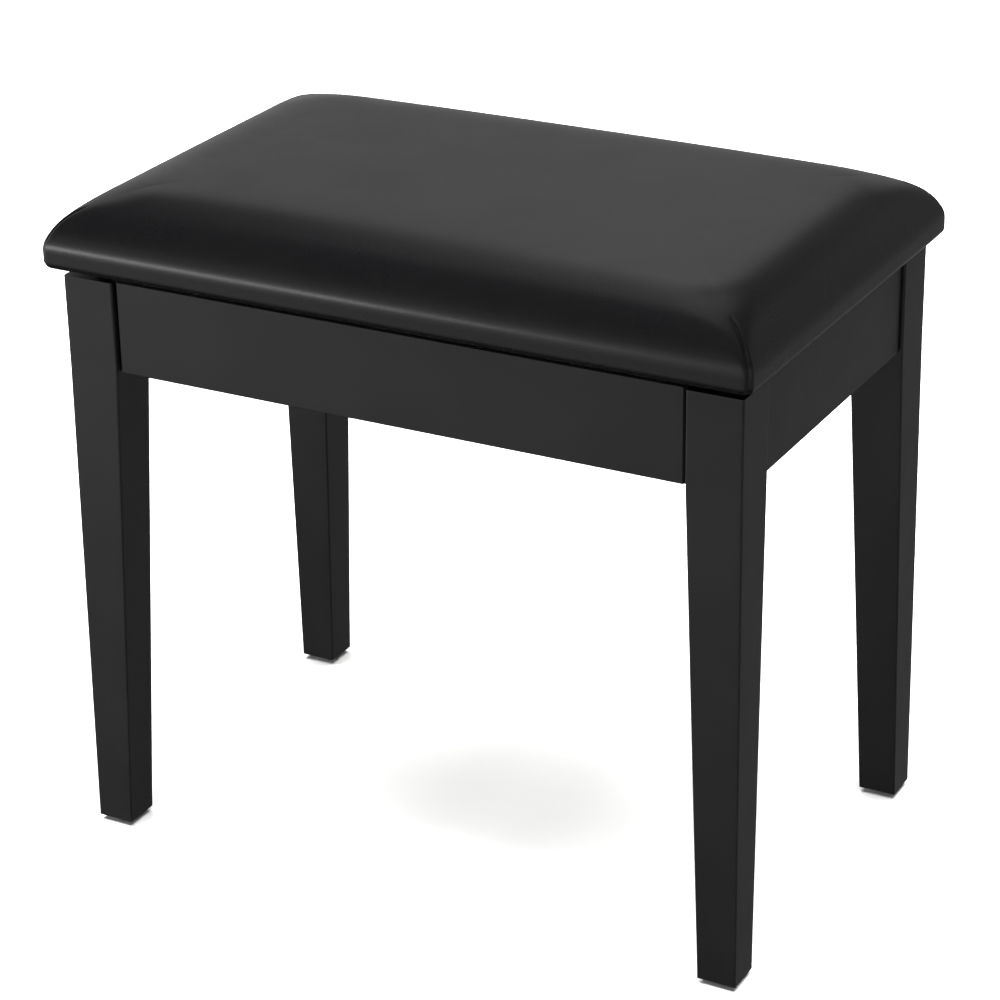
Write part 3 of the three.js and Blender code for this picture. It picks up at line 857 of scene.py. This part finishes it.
    def swell(self) -> tuple[np.ndarray, np.ndarray, np.ndarray]:
        """Inflates a coarse copy of the pad as cloth and reads how the top moved.

        Returns:
            The coarse grid's X lines, its Y lines, and the movement of each of its points.
        """
        step = self.swell_step
        top, below = self.split(self.section(step))
        below = below[: np.argmax(below[:, 1] <= 0) + 1]
        points, faces, (rows, columns) = self.shape.body(top, below, step, cap=True)
        share = points[:, 2] / points[:, 2].max()
        points[:, 2] -= self.swell_start * smoothstep(0.3, 1.0, share)
        xs = self.shape.lines(self.shape.half_x, top[:, 0], step)
        ys = self.shape.lines(self.shape.half_y, top[:, 0], step)
        pad = make_piece("swelling_pad", points, faces)
        held = pad.vertex_groups.new(name="held")
        low = np.nonzero(points[:, 2] <= self.band_top + 1 * MM)[0]
        held.add(low.tolist(), 1.0, "REPLACE")
        cloth = pad.modifiers.new("cloth", "CLOTH")
        settings = cloth.settings
        settings.vertex_group_mass = held.name
        settings.use_pressure = True
        settings.uniform_pressure_force = self.swell_pressure
        settings.effector_weights.gravity = 0
        settings.quality = 6
        settings.mass = 0.4
        settings.tension_stiffness = 25
        settings.compression_stiffness = 25
        settings.shear_stiffness = 12
        settings.bending_stiffness = 1.5
        settings.air_damping = 4
        scene = bpy.context.scene
        for number in range(1, self.swell_frames + 1):
            scene.frame_set(number)
        graph = bpy.context.evaluated_depsgraph_get()
        swollen = pad.evaluated_get(graph).to_mesh()
        moved = np.empty(len(points) * 3, np.float32)
        swollen.vertices.foreach_get("co", moved)
        move = moved.reshape(-1, 3) - points
        scene.frame_set(1)
        bpy.data.objects.remove(pad)
        length = np.linalg.norm(move, axis=1, keepdims=True)
        LOG.info("pad swells by up to %.1f mm before the cap", length.max() / MM)
        move *= self.swell_cap / (self.swell_cap + length)
        return xs, ys, move[: rows * columns].reshape(rows, columns, 3)

    def window(self, fine: np.ndarray, coarse: np.ndarray) -> np.ndarray:
        """Weights of the coarse lines at each fine line: exp(-d^2 / 2 w^2) times their spacing.

        Args:
            fine: places of the fine lines.
            coarse: places of the coarse lines.

        Returns:
            Fine x coarse weights whose rows add up to 1.
        """
        distance = (fine[:, None] - coarse[None, :]) / self.swell_window
        weight = np.exp(-(distance**2) / 2) * np.gradient(coarse)
        return weight / weight.sum(axis=1, keepdims=True)

    def inflated(self, top: np.ndarray, points: np.ndarray, grid: tuple[int, int]) -> np.ndarray:
        """Carries the simulated movement to the fine surface.

        On the top it is read through a Gaussian window along X and one along Y. The sides take the
        movement of the top's border, less and less down to the band.

        Args:
            top: the fine section's top part.
            points: the fine surface.
            grid: the fine top grid's rows and columns.

        Returns:
            The moved points.
        """
        coarse_x, coarse_y, move = self.swell()
        rows, columns = grid
        xs = self.shape.lines(self.shape.half_x, top[:, 0], self.cover_longest)
        ys = self.shape.lines(self.shape.half_y, top[:, 0], self.cover_longest)
        fine = np.einsum("rj,jka,ck->rca", self.window(ys, coarse_y), move, self.window(xs, coarse_x))
        fine = fine.reshape(-1, 3)
        start = points[: rows * columns, 2].max()
        moved = points.copy()
        share = points[:, 2] / start
        moved[:, 2] -= self.swell_start * smoothstep(0.3, 1.0, share)
        moved[: rows * columns] += fine
        loop = border_loop(rows, columns)
        ring_count = (len(points) - rows * columns) // len(loop)
        sides = slice(rows * columns, rows * columns + ring_count * len(loop))
        fade = smoothstep(self.band_top, points[loop, 2].mean(), points[sides, 2])[:, None] ** 2
        moved[sides] += np.tile(fine[loop], (ring_count, 1)) * fade
        return moved

    def pleated(self, points: np.ndarray) -> np.ndarray:
        """Presses a fold into each corner: a narrow groove up the corner and along its diagonal.

        With t along the diagonal from the corner and s across it, the groove's depth is
        pleat_depth * exp(-(s / width)^2), fading out by `pleat_reach`. Beside it one lip stands
        a little proud, as the leather's upper layer does.

        Args:
            points: the surface.

        Returns:
            The surface with its pleats.
        """
        inset_x = self.shape.half_x - np.abs(points[:, 0])
        inset_y = self.shape.half_y - np.abs(points[:, 1])
        along = (inset_x + inset_y) / math.sqrt(2)
        across = (inset_x - inset_y) / math.sqrt(2)
        fade = 1 - smoothstep(0.72 * self.pleat_reach, self.pleat_reach, along)
        fade *= smoothstep(-0.5 * MM, 2 * MM, points[:, 2])
        width = self.pleat_width * (1 + 1.0 * smoothstep(34 * MM, 22 * MM, points[:, 2]))
        groove = np.exp(-((across / width) ** 2)) * self.pleat_depth
        lip = np.exp(-(((across + 2.4 * MM) / (1.6 * MM)) ** 2)) * 0.25 * MM
        depth = (groove - lip) * fade
        tilt = smoothstep(26 * MM, 44 * MM, points[:, 2])
        inward = np.stack([-np.sign(points[:, 0]), -np.sign(points[:, 1])], -1) / math.sqrt(2)
        moved = points.copy()
        moved[:, :2] += inward * (depth * (1 - 0.5 * tilt))[:, None]
        moved[:, 2] -= depth * (0.35 + 0.65 * tilt) * smoothstep(12 * MM, 26 * MM, points[:, 2])
        return moved

    def build_cover(self, material: bpy.types.Material) -> bpy.types.Object:
        """The leather cover, with its hem turned under the board.

        Args:
            material: the leather.

        Returns:
            The cover.
        """
        top, below = self.split(self.section(self.cover_step))
        points, faces, grid = self.shape.body(top, below, self.cover_longest, cap=False)
        points = self.inflated(top, points, grid)
        points[:, 2] += self.crowned(points)
        points = self.pleated(points)
        points[:, 2] += self.low[2]
        cover = make_piece("leather_cover", points, faces)
        solidify = cover.modifiers.new("leather", "SOLIDIFY")
        solidify.thickness = self.leather
        solidify.offset = -1
        solidify.use_even_offset = False
        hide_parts("seat_cover")
        finish_piece(cover, "seat_lid", material)
        self.cover_points, self.cover_faces = points, faces
        self.cover_top, self.cover_below = top, below
        return cover

    def build_foam(self, material: bpy.types.Material) -> bpy.types.Object:
        """The foam: the cover's own surface, moved in along its normals, with a flat underside.

        Args:
            material: the foam.

        Returns:
            The foam.
        """
        base = node_box("seat_foam")[0][2]
        kept = self.cover_below[self.cover_below[:, 1] > base - self.low[2] + 0.2 * MM]
        points, faces, (rows, columns) = self.shape.body(self.cover_top, kept, self.cover_longest, cap=True)
        shared = rows * columns + len(kept) * len(border_loop(rows, columns))
        inward = vertex_normals(self.cover_points, self.cover_faces)[:shared]
        points[:shared] = self.cover_points[:shared] - inward * (self.leather + self.foam_gap)
        points[shared - len(border_loop(rows, columns)):, 2] = base
        foam = make_piece("foam_pad", points, faces)
        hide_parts("seat_foam")
        finish_piece(foam, "seat_lid", material)
        return foam

    def build_board(self, material: bpy.types.Material) -> bpy.types.Object:
        """The plywood board, its lower edge rounded so that the leather bends over it.

        Args:
            material: the plywood.

        Returns:
            The board.
        """
        bottom = self.low[2] + self.leather + 0.05 * MM
        height = node_box("seat_board")[1][2] - bottom
        radius = self.lower_radius - self.leather
        margin = self.leather + 0.1 * MM
        half_x, half_y = self.shape.half_x - margin, self.shape.half_y - margin
        shape = PadShape(half_x, half_y, self.shape.zone, self.board_corner_power)
        bend = np.radians(np.linspace(0, 90, 7))
        lower = np.column_stack([radius - radius * np.cos(bend), radius - radius * np.sin(bend)])
        edge = np.array([[0.3 * MM, height - 0.05 * MM], [0, height - 0.4 * MM]])
        below = np.concatenate([edge, lower])
        top = np.column_stack([np.array([0.8 * MM, 10 * MM, shape.zone]), np.full(3, height)])
        points, faces, _ = shape.body(top, below, 20 * MM, cap=True)
        points[:, 2] += bottom
        board = make_piece("plywood_board", points, faces, crease_degrees=40)
        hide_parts("seat_board")
        finish_piece(board, "seat_lid", material)
        return board

    def staple_places(self, low: np.ndarray, high: np.ndarray) -> tuple[np.ndarray, np.ndarray]:
        """Places and directions of the staples, evenly spaced along the cloth's four edges.

        Args:
            low: the cloth's lowest corner.
            high: its highest corner.

        Returns:
            N x 2 places, and N x 2 unit vectors along the edge.
        """
        places, along = [], []
        for axis in (0, 1):
            count = round((high[axis] - low[axis]) / self.staple_spacing)
            run = low[axis] + (np.arange(count) + 0.5) * (high[axis] - low[axis]) / count
            for edge in (low[1 - axis] + self.staple_inset, high[1 - axis] - self.staple_inset):
                spot = np.empty((count, 2))
                spot[:, axis], spot[:, 1 - axis] = run, edge
                places.append(spot)
                along.append(np.tile(np.eye(2)[axis], (count, 1)))
        return np.concatenate(places), np.concatenate(along)

    def build_dust_cloth(self, material: bpy.types.Material, steel: bpy.types.Material) -> None:
        """The thin cloth under the board, drawn flat, with its staples.

        With u and v from 0 to 1 across it, it sags by sag * 16 u (1-u) v (1-v), and its edge
        ripples by pucker * cos(2 pi run / spacing), dying away within 15 mm of the edge.

        Args:
            material: the cloth.
            steel: the staples' finish.
        """
        low, high = node_box("dust_cover")
        size = high - low
        rows, columns = 90, 140
        v, u = np.meshgrid(np.linspace(0, 1, rows), np.linspace(0, 1, columns), indexing="ij")
        x, y = low[0] + u * size[0], low[1] + v * size[1]
        edge = np.minimum(np.minimum(u, 1 - u) * size[0], np.minimum(v, 1 - v) * size[1])
        run = np.where(np.minimum(u, 1 - u) * size[0] < np.minimum(v, 1 - v) * size[1], y, x)
        wave = np.cos(2 * math.pi * run / self.staple_spacing)
        ripple = self.cloth_pucker * wave * np.exp(-edge / (15 * MM))
        level = self.low[2] - self.cloth_thickness / 2 - 0.1 * MM
        z = level - self.cloth_sag * 16 * u * (1 - u) * v * (1 - v) - self.cloth_pucker + ripple
        points = np.stack([x, y, z], -1)
        cloth = make_piece("dust_cloth", points, grid_faces(rows, columns)[:, ::-1])
        solidify = cloth.modifiers.new("cloth", "SOLIDIFY")
        solidify.thickness = self.cloth_thickness
        solidify.offset = 0
        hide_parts("dust_cover")
        finish_piece(cloth, "seat_lid", material)
        places, along = self.staple_places(low, high)
        across = np.stack([-along[:, 1], along[:, 0]], -1)
        ring = np.radians(np.arange(0, 360, 60))
        shares = np.array([-0.5, -0.46, -0.3, 0.3, 0.46, 0.5])
        drop = np.array([0.2, 0.8, 1.0, 1.0, 0.8, 0.2]) * self.staple_height
        lengthways = along[:, None, None, :] * (shares * self.staple_length)[:, None, None]
        sideways = across[:, None, None, :] * (np.cos(ring) * self.staple_width / 2)[None, :, None]
        plan = (places[:, None, None, :] + lengthways + sideways).reshape(len(places), -1, 2)
        tall = level - self.cloth_thickness / 2 + 0.15 * MM - (drop[:, None] / 2) * (1 + np.sin(ring))
        tall = np.tile(tall.reshape(1, -1, 1), (len(places), 1, 1))
        points = np.concatenate([plan, tall], -1)
        one = grid_faces(len(shares), len(ring), closed=True)
        end = np.arange(len(ring))
        caps = np.array([end[::-1], (len(shares) - 1) * len(ring) + end])
        step = (np.arange(len(places)) * points.shape[1])[:, None, None]
        faces = [(one + step).reshape(-1, 4), (caps + step).reshape(-1, len(ring))]
        staples = make_piece("cloth_staples", points.reshape(-1, 3), faces)
        finish_piece(staples, "seat_lid", steel)


# ------------------------------------------------------------------ hardware


@dataclass
class HangerBolts:
    """The eight bolts that draw the legs into the corners: wood screw, shank, thread, washer, nut."""

    wood_length: float = 26 * MM
    wood_pitch: float = 2.4 * MM
    tail_length: float = 20 * MM
    pitch: float = 1.0 * MM
    thread_depth: float = 0.5 * MM
    nut_radius: float = 5.8 * MM
    nut_height: float = 5 * MM
    washer_radius: float = 6.5 * MM
    washer_height: float = 1.5 * MM
    tail: float = 4 * MM
    stud_radius: float = 3 * MM
    sides: int = 20

    def stud(self, length: float, radius: float) -> tuple[np.ndarray, list[np.ndarray]]:
        """The threaded stud, from its tail at 0 to its point at `length`.

        The radius is r minus the thread's depth times a triangle wave of (height / pitch - turn),
        with the coarse wood thread at the far end drawn to a point.

        Args:
            length: the stud's length.
            radius: its outer radius.

        Returns:
            Points and face blocks.
        """
        fine = np.arange(0, self.tail_length, self.pitch / 5)
        coarse = np.arange(length - self.wood_length, length, self.wood_pitch / 7)
        height = np.concatenate([fine, [self.tail_length + 1 * MM], coarse, [length]])
        turn = np.arange(self.sides)[None, :] / self.sides
        tall = height[:, None]
        fine_wave = np.abs(((tall / self.pitch - turn) % 1) * 2 - 1)
        coarse_wave = np.abs(((tall / self.wood_pitch - turn) % 1) * 2 - 1) ** 0.6
        in_fine = tall < self.tail_length - self.pitch
        in_coarse = tall > length - self.wood_length + self.wood_pitch
        depth = np.where(in_fine, fine_wave, np.where(in_coarse, 1.7 * coarse_wave, 0)) * self.thread_depth
        point = np.clip((length - tall) / (6 * MM), 0.08, 1)
        start = np.clip(0.75 + tall / (3 * MM), 0, 1)
        return lathe((radius - depth) * point * start, height)

    def nut(self) -> tuple[np.ndarray, list[np.ndarray]]:
        """A hexagonal nut: apothem / cos(angle from the nearest flat's middle), under a chamfer cone.

        Returns:
            Points and face blocks.
        """
        turn = np.arange(48) / 48 * 2 * math.pi
        flat = (turn + math.pi / 6) % (math.pi / 3) - math.pi / 6
        hexagon = self.nut_radius * math.cos(math.pi / 6) / np.cos(flat)
        chamfer = np.linspace(0, 1, 5) * 0.6 * MM
        height = np.concatenate([chamfer, self.nut_height - chamfer[::-1]])
        from_face = np.minimum(height, self.nut_height - height)
        cone = self.nut_radius * 0.87 + from_face * 1.7
        return lathe(np.minimum(hexagon[None, :], cone[:, None]), height)

    def washer(self) -> tuple[np.ndarray, list[np.ndarray]]:
        """A stamped washer with slightly rounded edges.

        Returns:
            Points and face blocks.
        """
        r, h, e = self.washer_radius, self.washer_height - 0.05 * MM, 0.25 * MM
        lower = [(r - e, 0), (r - e / 4, e / 4), (r, e)]
        upper = [(r, h - e), (r - e / 4, h - e / 4), (r - e, h)]
        return turned(lower + upper, 40)

    def build(self, steel: bpy.types.Material) -> None:
        """All eight bolts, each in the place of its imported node.

        Args:
            steel: their finish.
        """
        for front in ("front", "rear"):
            for side in ("left", "right"):
                outward = (-1 if side == "left" else 1, -1 if front == "front" else 1, 0)
                for level in ("lower", "upper"):
                    node = f"leg_bolt_{level}_{front}_{side}"
                    low, high = node_box(node)
                    length = (high[0] - low[0]) * math.sqrt(2) - 2 * self.stud_radius
                    nut, nut_faces = self.nut()
                    washer, washer_faces = self.washer()
                    nut[:, 2] += self.tail
                    washer[:, 2] += self.tail + self.nut_height + 0.02 * MM
                    stud = self.stud(length, self.stud_radius)
                    points, faces = join([stud, (nut, nut_faces), (washer, washer_faces)])
                    points[:, 2] -= length / 2
                    points = aimed(points, (low + high) / 2, outward)
                    bolt = make_piece(f"hanger_bolt_{level}_{front}_{side}", points, faces, 32)
                    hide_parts(node)
                    finish_piece(bolt, "frame", steel)


@dataclass
class HingeScrews:
    """The countersunk screws of the hinges, with a cross recess in each head."""

    head_radius: float = 3.2 * MM
    shank_radius: float = 1.5 * MM
    head_height: float = 1.5 * MM
    pitch: float = 1.1 * MM
    recess_depth: float = 1.1 * MM
    recess_radius: float = 1.7 * MM
    recess_width: float = 0.42 * MM

    def screw(self, length: float) -> tuple[np.ndarray, list[np.ndarray]]:
        """A screw with its head's flat face at 0 and its point at -length.

        Below the head the radius is the shank's less a triangle wave of (height / pitch - turn).
        The head's face sinks where the nearer of the two arms of a cross covers it.

        Args:
            length: the screw's length.

        Returns:
            Points and face blocks.
        """
        sides = 48
        turn = np.arange(sides)[None, :] / sides
        shank = np.linspace(-length, -self.head_height - 0.2 * MM, 42)[:, None]
        wave = np.abs(((shank / self.pitch - turn) % 1) * 2 - 1)
        point = np.clip((shank + length) / (3 * MM), 0.1, 1)
        thread = (self.shank_radius - 0.35 * MM * wave) * point
        cone_height = np.array([-self.head_height, -0.12 * MM, 0.0])[:, None]
        cone = np.array([self.shank_radius, self.head_radius, self.head_radius - 0.1 * MM])[:, None]
        face = np.linspace(self.head_radius - 0.4 * MM, 0.05 * MM, 14)[:, None]
        angle = turn * 2 * math.pi
        arm = face * np.minimum(np.abs(np.sin(angle)), np.abs(np.cos(angle)))
        sunk = smoothstep(self.recess_width + 0.15 * MM, self.recess_width - 0.15 * MM, arm)
        sunk = sunk * smoothstep(self.recess_radius + 0.2 * MM, self.recess_radius - 0.3 * MM, face)
        around = np.ones((1, sides))
        radius = np.concatenate([thread, cone * around, face * around])
        height = np.concatenate([shank * around, cone_height * around, -self.recess_depth * sunk])
        return lathe(radius, height)

    def build(self, steel: bpy.types.Material) -> None:
        """All eight screws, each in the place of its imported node.

        Args:
            steel: their finish.
        """
        for leaf, body, up in (("frame", "frame", 1), ("lid", "seat_lid", -1)):
            for side in ("left", "right"):
                for number in (1, 2):
                    node = f"hinge_{leaf}_screw_{side}_{number}"
                    low, high = node_box(node)
                    middle = (low + high) / 2
                    middle[2] = high[2] if up > 0 else low[2]
                    points, faces = self.screw(high[2] - low[2])
                    points = aimed(points, middle, (0, 0, up))
                    screw = make_piece(f"countersunk_screw_{leaf}_{side}_{number}", points, faces, 32)
                    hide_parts(node)
                    finish_piece(screw, body, steel)


@dataclass
class SmallMouldings:
    """The nail-on glides under the legs and the rubber bumpers that the lid rests on."""

    sides: int = 48

    def domed(
        self, low: np.ndarray, high: np.ndarray, flat_share: float, up: bool
    ) -> tuple[np.ndarray, list[np.ndarray]]:
        """A button with a flat face, a quarter-round edge and a straight rim.

        Args:
            low: lowest corner of its box.
            high: highest corner.
            flat_share: share of the radius that is flat on the face.
            up: whether the face points up.

        Returns:
            Points and face blocks.
        """
        radius = (high[0] - low[0]) / 2
        height = high[2] - low[2]
        inward = radius * (1 - flat_share)
        edge = min(inward, height * 0.7)
        bend = np.radians(np.linspace(0, 90, 8))
        profile = [(radius - 0.3 * MM, 0), (radius, 0.3 * MM)]
        profile += [(radius - inward * (1 - math.cos(t)), height - edge * (1 - math.sin(t))) for t in bend]
        points, faces = turned(profile, self.sides)
        place = (low + high) / 2
        place[2] = low[2] if up else high[2]
        return aimed(points, place, (0, 0, 1 if up else -1)), faces

    def build(self, nylon: bpy.types.Material, rubber: bpy.types.Material) -> None:
        """The four glides and two bumpers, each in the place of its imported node.

        Args:
            nylon: the glides' finish.
            rubber: the bumpers' finish.
        """
        for side in ("left", "right"):
            for front in ("front", "rear"):
                node = f"foot_glide_{front}_{side}"
                points, faces = self.domed(*node_box(node), flat_share=0.6, up=False)
                glide = make_piece(f"nylon_glide_{front}_{side}", points, faces, 50)
                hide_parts(node)
                finish_piece(glide, "frame", nylon)
            node = f"lid_bumper_front_{side}"
            points, faces = self.domed(*node_box(node), flat_share=0.45, up=True)
            bumper = make_piece(f"rubber_bumper_{side}", points, faces, 50)
            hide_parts(node)
            finish_piece(bumper, "frame", rubber)


@dataclass
class StayRivets:
    """The elbow rivets of the lid stays: a domed head on each side and a collar between the arms."""

    head_radius: float = 5 * MM
    head_height: float = 1.5 * MM
    shank_radius: float = 3 * MM
    sides: int = 40

    def build(self, steel: bpy.types.Material) -> None:
        """Both rivets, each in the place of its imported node.

        Args:
            steel: their finish.
        """
        for side in ("left", "right"):
            node = f"stay_elbow_rivet_{side}"
            low, high = node_box(node)
            half = (high[0] - low[0]) / 2
            bend = np.radians(np.linspace(0, 90, 7))[:-1]
            rise = self.head_height
            head = [(self.head_radius * math.cos(t), rise * (0.3 + 0.7 * math.sin(t))) for t in bend]
            inner = half - self.head_height
            collar = self.head_height / 2
            upper = [(self.shank_radius, collar), (self.shank_radius, inner), (self.head_radius, inner)]
            upper += [(r, inner + h) for r, h in head] + [(0.3 * MM, half)]
            lower = [(r, -h) for r, h in upper][::-1]
            profile = lower + [(self.head_radius, -collar), (self.head_radius, collar)] + upper
            points, faces = turned(profile, self.sides)
            rivet = make_piece(f"elbow_rivet_{side}", aimed(points, (low + high) / 2, (1, 0, 0)), faces, 32)
            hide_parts(node)
            finish_piece(rivet, f"{side}_lower_arm", steel)


# ------------------------------------------------------------------ frame


@dataclass
class BenchFrame:
    """The lacquered frame and the pressed steel fittings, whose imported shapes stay."""

    along_x: tuple[str, ...] = (
        "apron_front", "apron_rear", "cleat_front", "cleat_rear", "compartment_floor"
    )
    along_y: tuple[str, ...] = ("apron_left", "apron_right", "cleat_left", "cleat_right")

    def dress(self, nodes: dict, steel: bpy.types.Material) -> None:
        """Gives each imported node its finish: steel to fittings, and lacquer by grain to the wood.

        Args:
            nodes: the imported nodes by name.
            steel: the fittings' finish.
        """
        lacquer = {grain: SatinLacquer().build(grain) for grain in Grain}
        for name, node in nodes.items():
            material = lacquer[Grain.ALONG_Z]
            if name.startswith(("hinge_", "stay_", "leg_bolt")):
                material = steel
            elif name.endswith(self.along_x):
                material = lacquer[Grain.ALONG_X]
            elif name.endswith(self.along_y):
                material = lacquer[Grain.ALONG_Y]
            node.data.materials.clear()
            node.data.materials.append(material)


# ------------------------------------------------------------------ studio


@dataclass
class Studio:
    """A pale floor, a soft room and a camera from the front, a little to the right and above."""

    camera_place: tuple[float, float, float] = (1.0135, -1.8686, 1.2289)
    yaw: float = 28.511
    pitch: float = 24.464
    roll: float = -0.954
    lens: float = 111.04
    floor_half: float = 4.5
    floor_colour: str = "f4f4f3"
    room_left: float = 0.96
    room_right: float = 0.28
    room_overhead: float = 0.05
    room_glow: float = 0.75             # a band of the overhead
    room_back: float = 0.5
    room_low_loss: float = 0.95

    def build_camera(self) -> None:
        """Aims the camera: it looks along +Y, tips down by the pitch and turns by the yaw."""
        camera = bpy.data.cameras.new("camera")
        camera.lens = self.lens
        camera.sensor_width = 36
        camera.clip_end = 60
        view = bpy.data.objects.new("camera", camera)
        turn = (
            Matrix.Rotation(math.radians(self.yaw), 4, "Z")
            @ Matrix.Rotation(math.radians(90 - self.pitch), 4, "X")
            @ Matrix.Rotation(math.radians(self.roll), 4, "Z")
        )
        view.matrix_world = Matrix.Translation(self.camera_place) @ turn
        bpy.context.scene.collection.objects.link(view)
        bpy.context.scene.camera = view

    def build_floor(self) -> None:
        """A plain matt floor, one large square just under the glides."""
        corner = np.array([[-1, -1], [1, -1], [1, 1], [-1, 1]]) * self.floor_half
        points = np.column_stack([corner, np.full(4, -0.2 * MM)])
        floor = make_piece("studio_floor", points, np.array([[0, 1, 2, 3]]))
        material, tree = new_material("matt_white_sweep")
        inputs = {"Base Color": linear(self.floor_colour), "Roughness": 0.9, "Specular IOR Level": 0.0}
        shader = add_node(tree, "ShaderNodeBsdfPrincipled", inputs)
        add_node(tree, "ShaderNodeOutputMaterial", {"Surface": shader.outputs["BSDF"]})
        floor.data.materials.append(material)
        floor.visible_glossy = False

    def build_room(self) -> None:
        """A soft room: palest to the left, dark overhead and low in front.

        With x, y and z the direction's parts, the walls' brightness falls evenly from `room_left`
        at the left to `room_right` at the right. It is multiplied by a fade towards the back, by a
        loss low in front, and by a fade straight down. Above z = 0.36 it passes into an overhead
        that is dark but for one band of glow, left of the middle and behind.
        """
        world = bpy.data.worlds.new("studio_room")
        bpy.context.scene.world = world
        world.use_nodes = True
        tree = world.node_tree
        tree.nodes.clear()

        def ramp(
            value: bpy.types.NodeSocket, start: float, end: float, first: float, last: float
        ) -> bpy.types.NodeSocket:
            """A smooth step.

            Args:
                value: what it is read at.
                start: where it starts.
                end: where it ends.
                first: the result before the start.
                last: the result after the end.

            Returns:
                The result.
            """
            limits = {"Value": value, "From Min": start, "From Max": end, "To Min": first, "To Max": last}
            node = add_node(tree, "ShaderNodeMapRange", limits, interpolation_type="SMOOTHSTEP")
            return node.outputs["Result"]

        def maths(
            operation: str, first: bpy.types.NodeSocket | float, second: bpy.types.NodeSocket | float
        ) -> bpy.types.NodeSocket:
            """The result of the math operation on two values."""
            node = add_node(tree, "ShaderNodeMath", {0: first, 1: second}, operation=operation)
            return node.outputs["Value"]

        direction = add_node(tree, "ShaderNodeTexCoord")
        parts = add_node(tree, "ShaderNodeSeparateXYZ", {"Vector": direction.outputs["Generated"]})
        x, y, z = (parts.outputs[axis] for axis in "XYZ")
        walls = {"Value": x, "From Min": -0.9, "From Max": 0.75}
        walls |= {"To Min": self.room_left, "To Max": self.room_right}
        sideways = add_node(tree, "ShaderNodeMapRange", walls).outputs["Result"]
        backward = ramp(y, -0.3, 0.6, 1.0, self.room_back)
        low = ramp(z, -0.54, -0.33, self.room_low_loss, 0.0)
        kept = maths("SUBTRACT", 1.0, maths("MULTIPLY", ramp(y, -0.5, 0.0, 1.0, 0.0), low))
        around = maths("MULTIPLY", maths("MULTIPLY", sideways, backward), kept)
        around = maths("MULTIPLY", around, ramp(z, -0.75, -0.55, 0.1, 1.0))
        band = maths("MULTIPLY", ramp(x, -0.53, -0.38, 0.0, self.room_glow), ramp(x, -0.3, -0.12, 1.0, 0.0))
        glow = maths("MULTIPLY", band, ramp(y, -0.2, 0.15, 0.0, 1.0))
        overhead = maths("ADD", glow, self.room_overhead)
        mixed = {"Factor": ramp(z, 0.36, 0.5, 0.0, 1.0), "A": around, "B": overhead}
        strength = add_node(tree, "ShaderNodeMix", mixed).outputs["Result"]
        # Straight behind the bench the room is plain white.
        seen = add_node(tree, "ShaderNodeLightPath").outputs["Is Camera Ray"]
        mixed = {"Factor": seen, "A": strength, "B": 1.0}
        strength = add_node(tree, "ShaderNodeMix", mixed).outputs["Result"]
        back = add_node(tree, "ShaderNodeBackground", {"Color": (1, 1, 1, 1), "Strength": strength})
        add_node(tree, "ShaderNodeOutputWorld", {"Surface": back.outputs["Background"]})

    def add_softbox(
        self, name: str, place: tuple, size: tuple, watts: float, glossy: bool = True
    ) -> None:
        """A soft area light that faces the bench.

        Args:
            name: the light's name.
            place: its middle.
            size: its width and height.
            watts: its power.
            glossy: whether it shows in reflections.
        """
        light = bpy.data.lights.new(name, "AREA")
        light.shape = "RECTANGLE"
        light.size, light.size_y = size
        light.energy = watts
        box = bpy.data.objects.new(name, light)
        target = np.array([0, 0, 0.35]) - np.array(place)
        yaw = math.atan2(-target[0], target[1])
        drop = math.atan2(-target[2], np.hypot(target[0], target[1]))
        turn = Matrix.Rotation(yaw, 4, "Z") @ Matrix.Rotation(math.pi / 2 - drop, 4, "X")
        box.matrix_world = Matrix.Translation(place) @ turn
        box.visible_camera = False
        box.visible_glossy = glossy
        bpy.context.scene.collection.objects.link(box)

    def build_lights(self) -> None:
        """One overhead fill that isn't reflected, and one low strip for a soft highlight."""
        self.add_softbox("overhead_fill", (0, -0.2, 5.0), (6, 6), 1250, glossy=False)
        self.add_softbox("front_strip", (-2.0, -2.25, 0.5), (1.7, 0.3), 20)

    def build(self) -> None:
        """Builds the whole studio."""
        self.build_camera()
        self.build_floor()
        self.build_room()
        self.build_lights()
        bpy.context.scene.view_settings.view_transform = "Standard"


# ------------------------------------------------------------------ the bench


def main() -> None:
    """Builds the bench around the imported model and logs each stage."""
    logging.basicConfig(level=logging.INFO, format="%(name)s: %(message)s")
    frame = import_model()
    studio = Studio()
    studio.build()
    LOG.info("studio built")

    steel = ZincPlate().build()
    BenchFrame().dress(frame["nodes"], steel)
    LOG.info("frame dressed")

    lid = SeatLid()
    lid.build_cover(CoatedLeather().build())
    LOG.info("leather cover built")
    lid.build_foam(OpenFoam().build())
    lid.build_board(Plywood().build())
    lid.build_dust_cloth(NonWoven().build(), steel)
    LOG.info("foam, board, cloth and staples built")

    HangerBolts().build(steel)
    HingeScrews().build(steel)
    StayRivets().build(steel)
    nylon = MouldedBlack("moulded_nylon", "19191a", "232324", 0.5, 1.53)
    rubber = MouldedBlack("moulded_rubber", "141414", "1e1e1e", 0.72, 1.52)
    SmallMouldings().build(nylon.build(), rubber.build())
    LOG.info("hardware built")


if __name__ == "__main__":
    main()
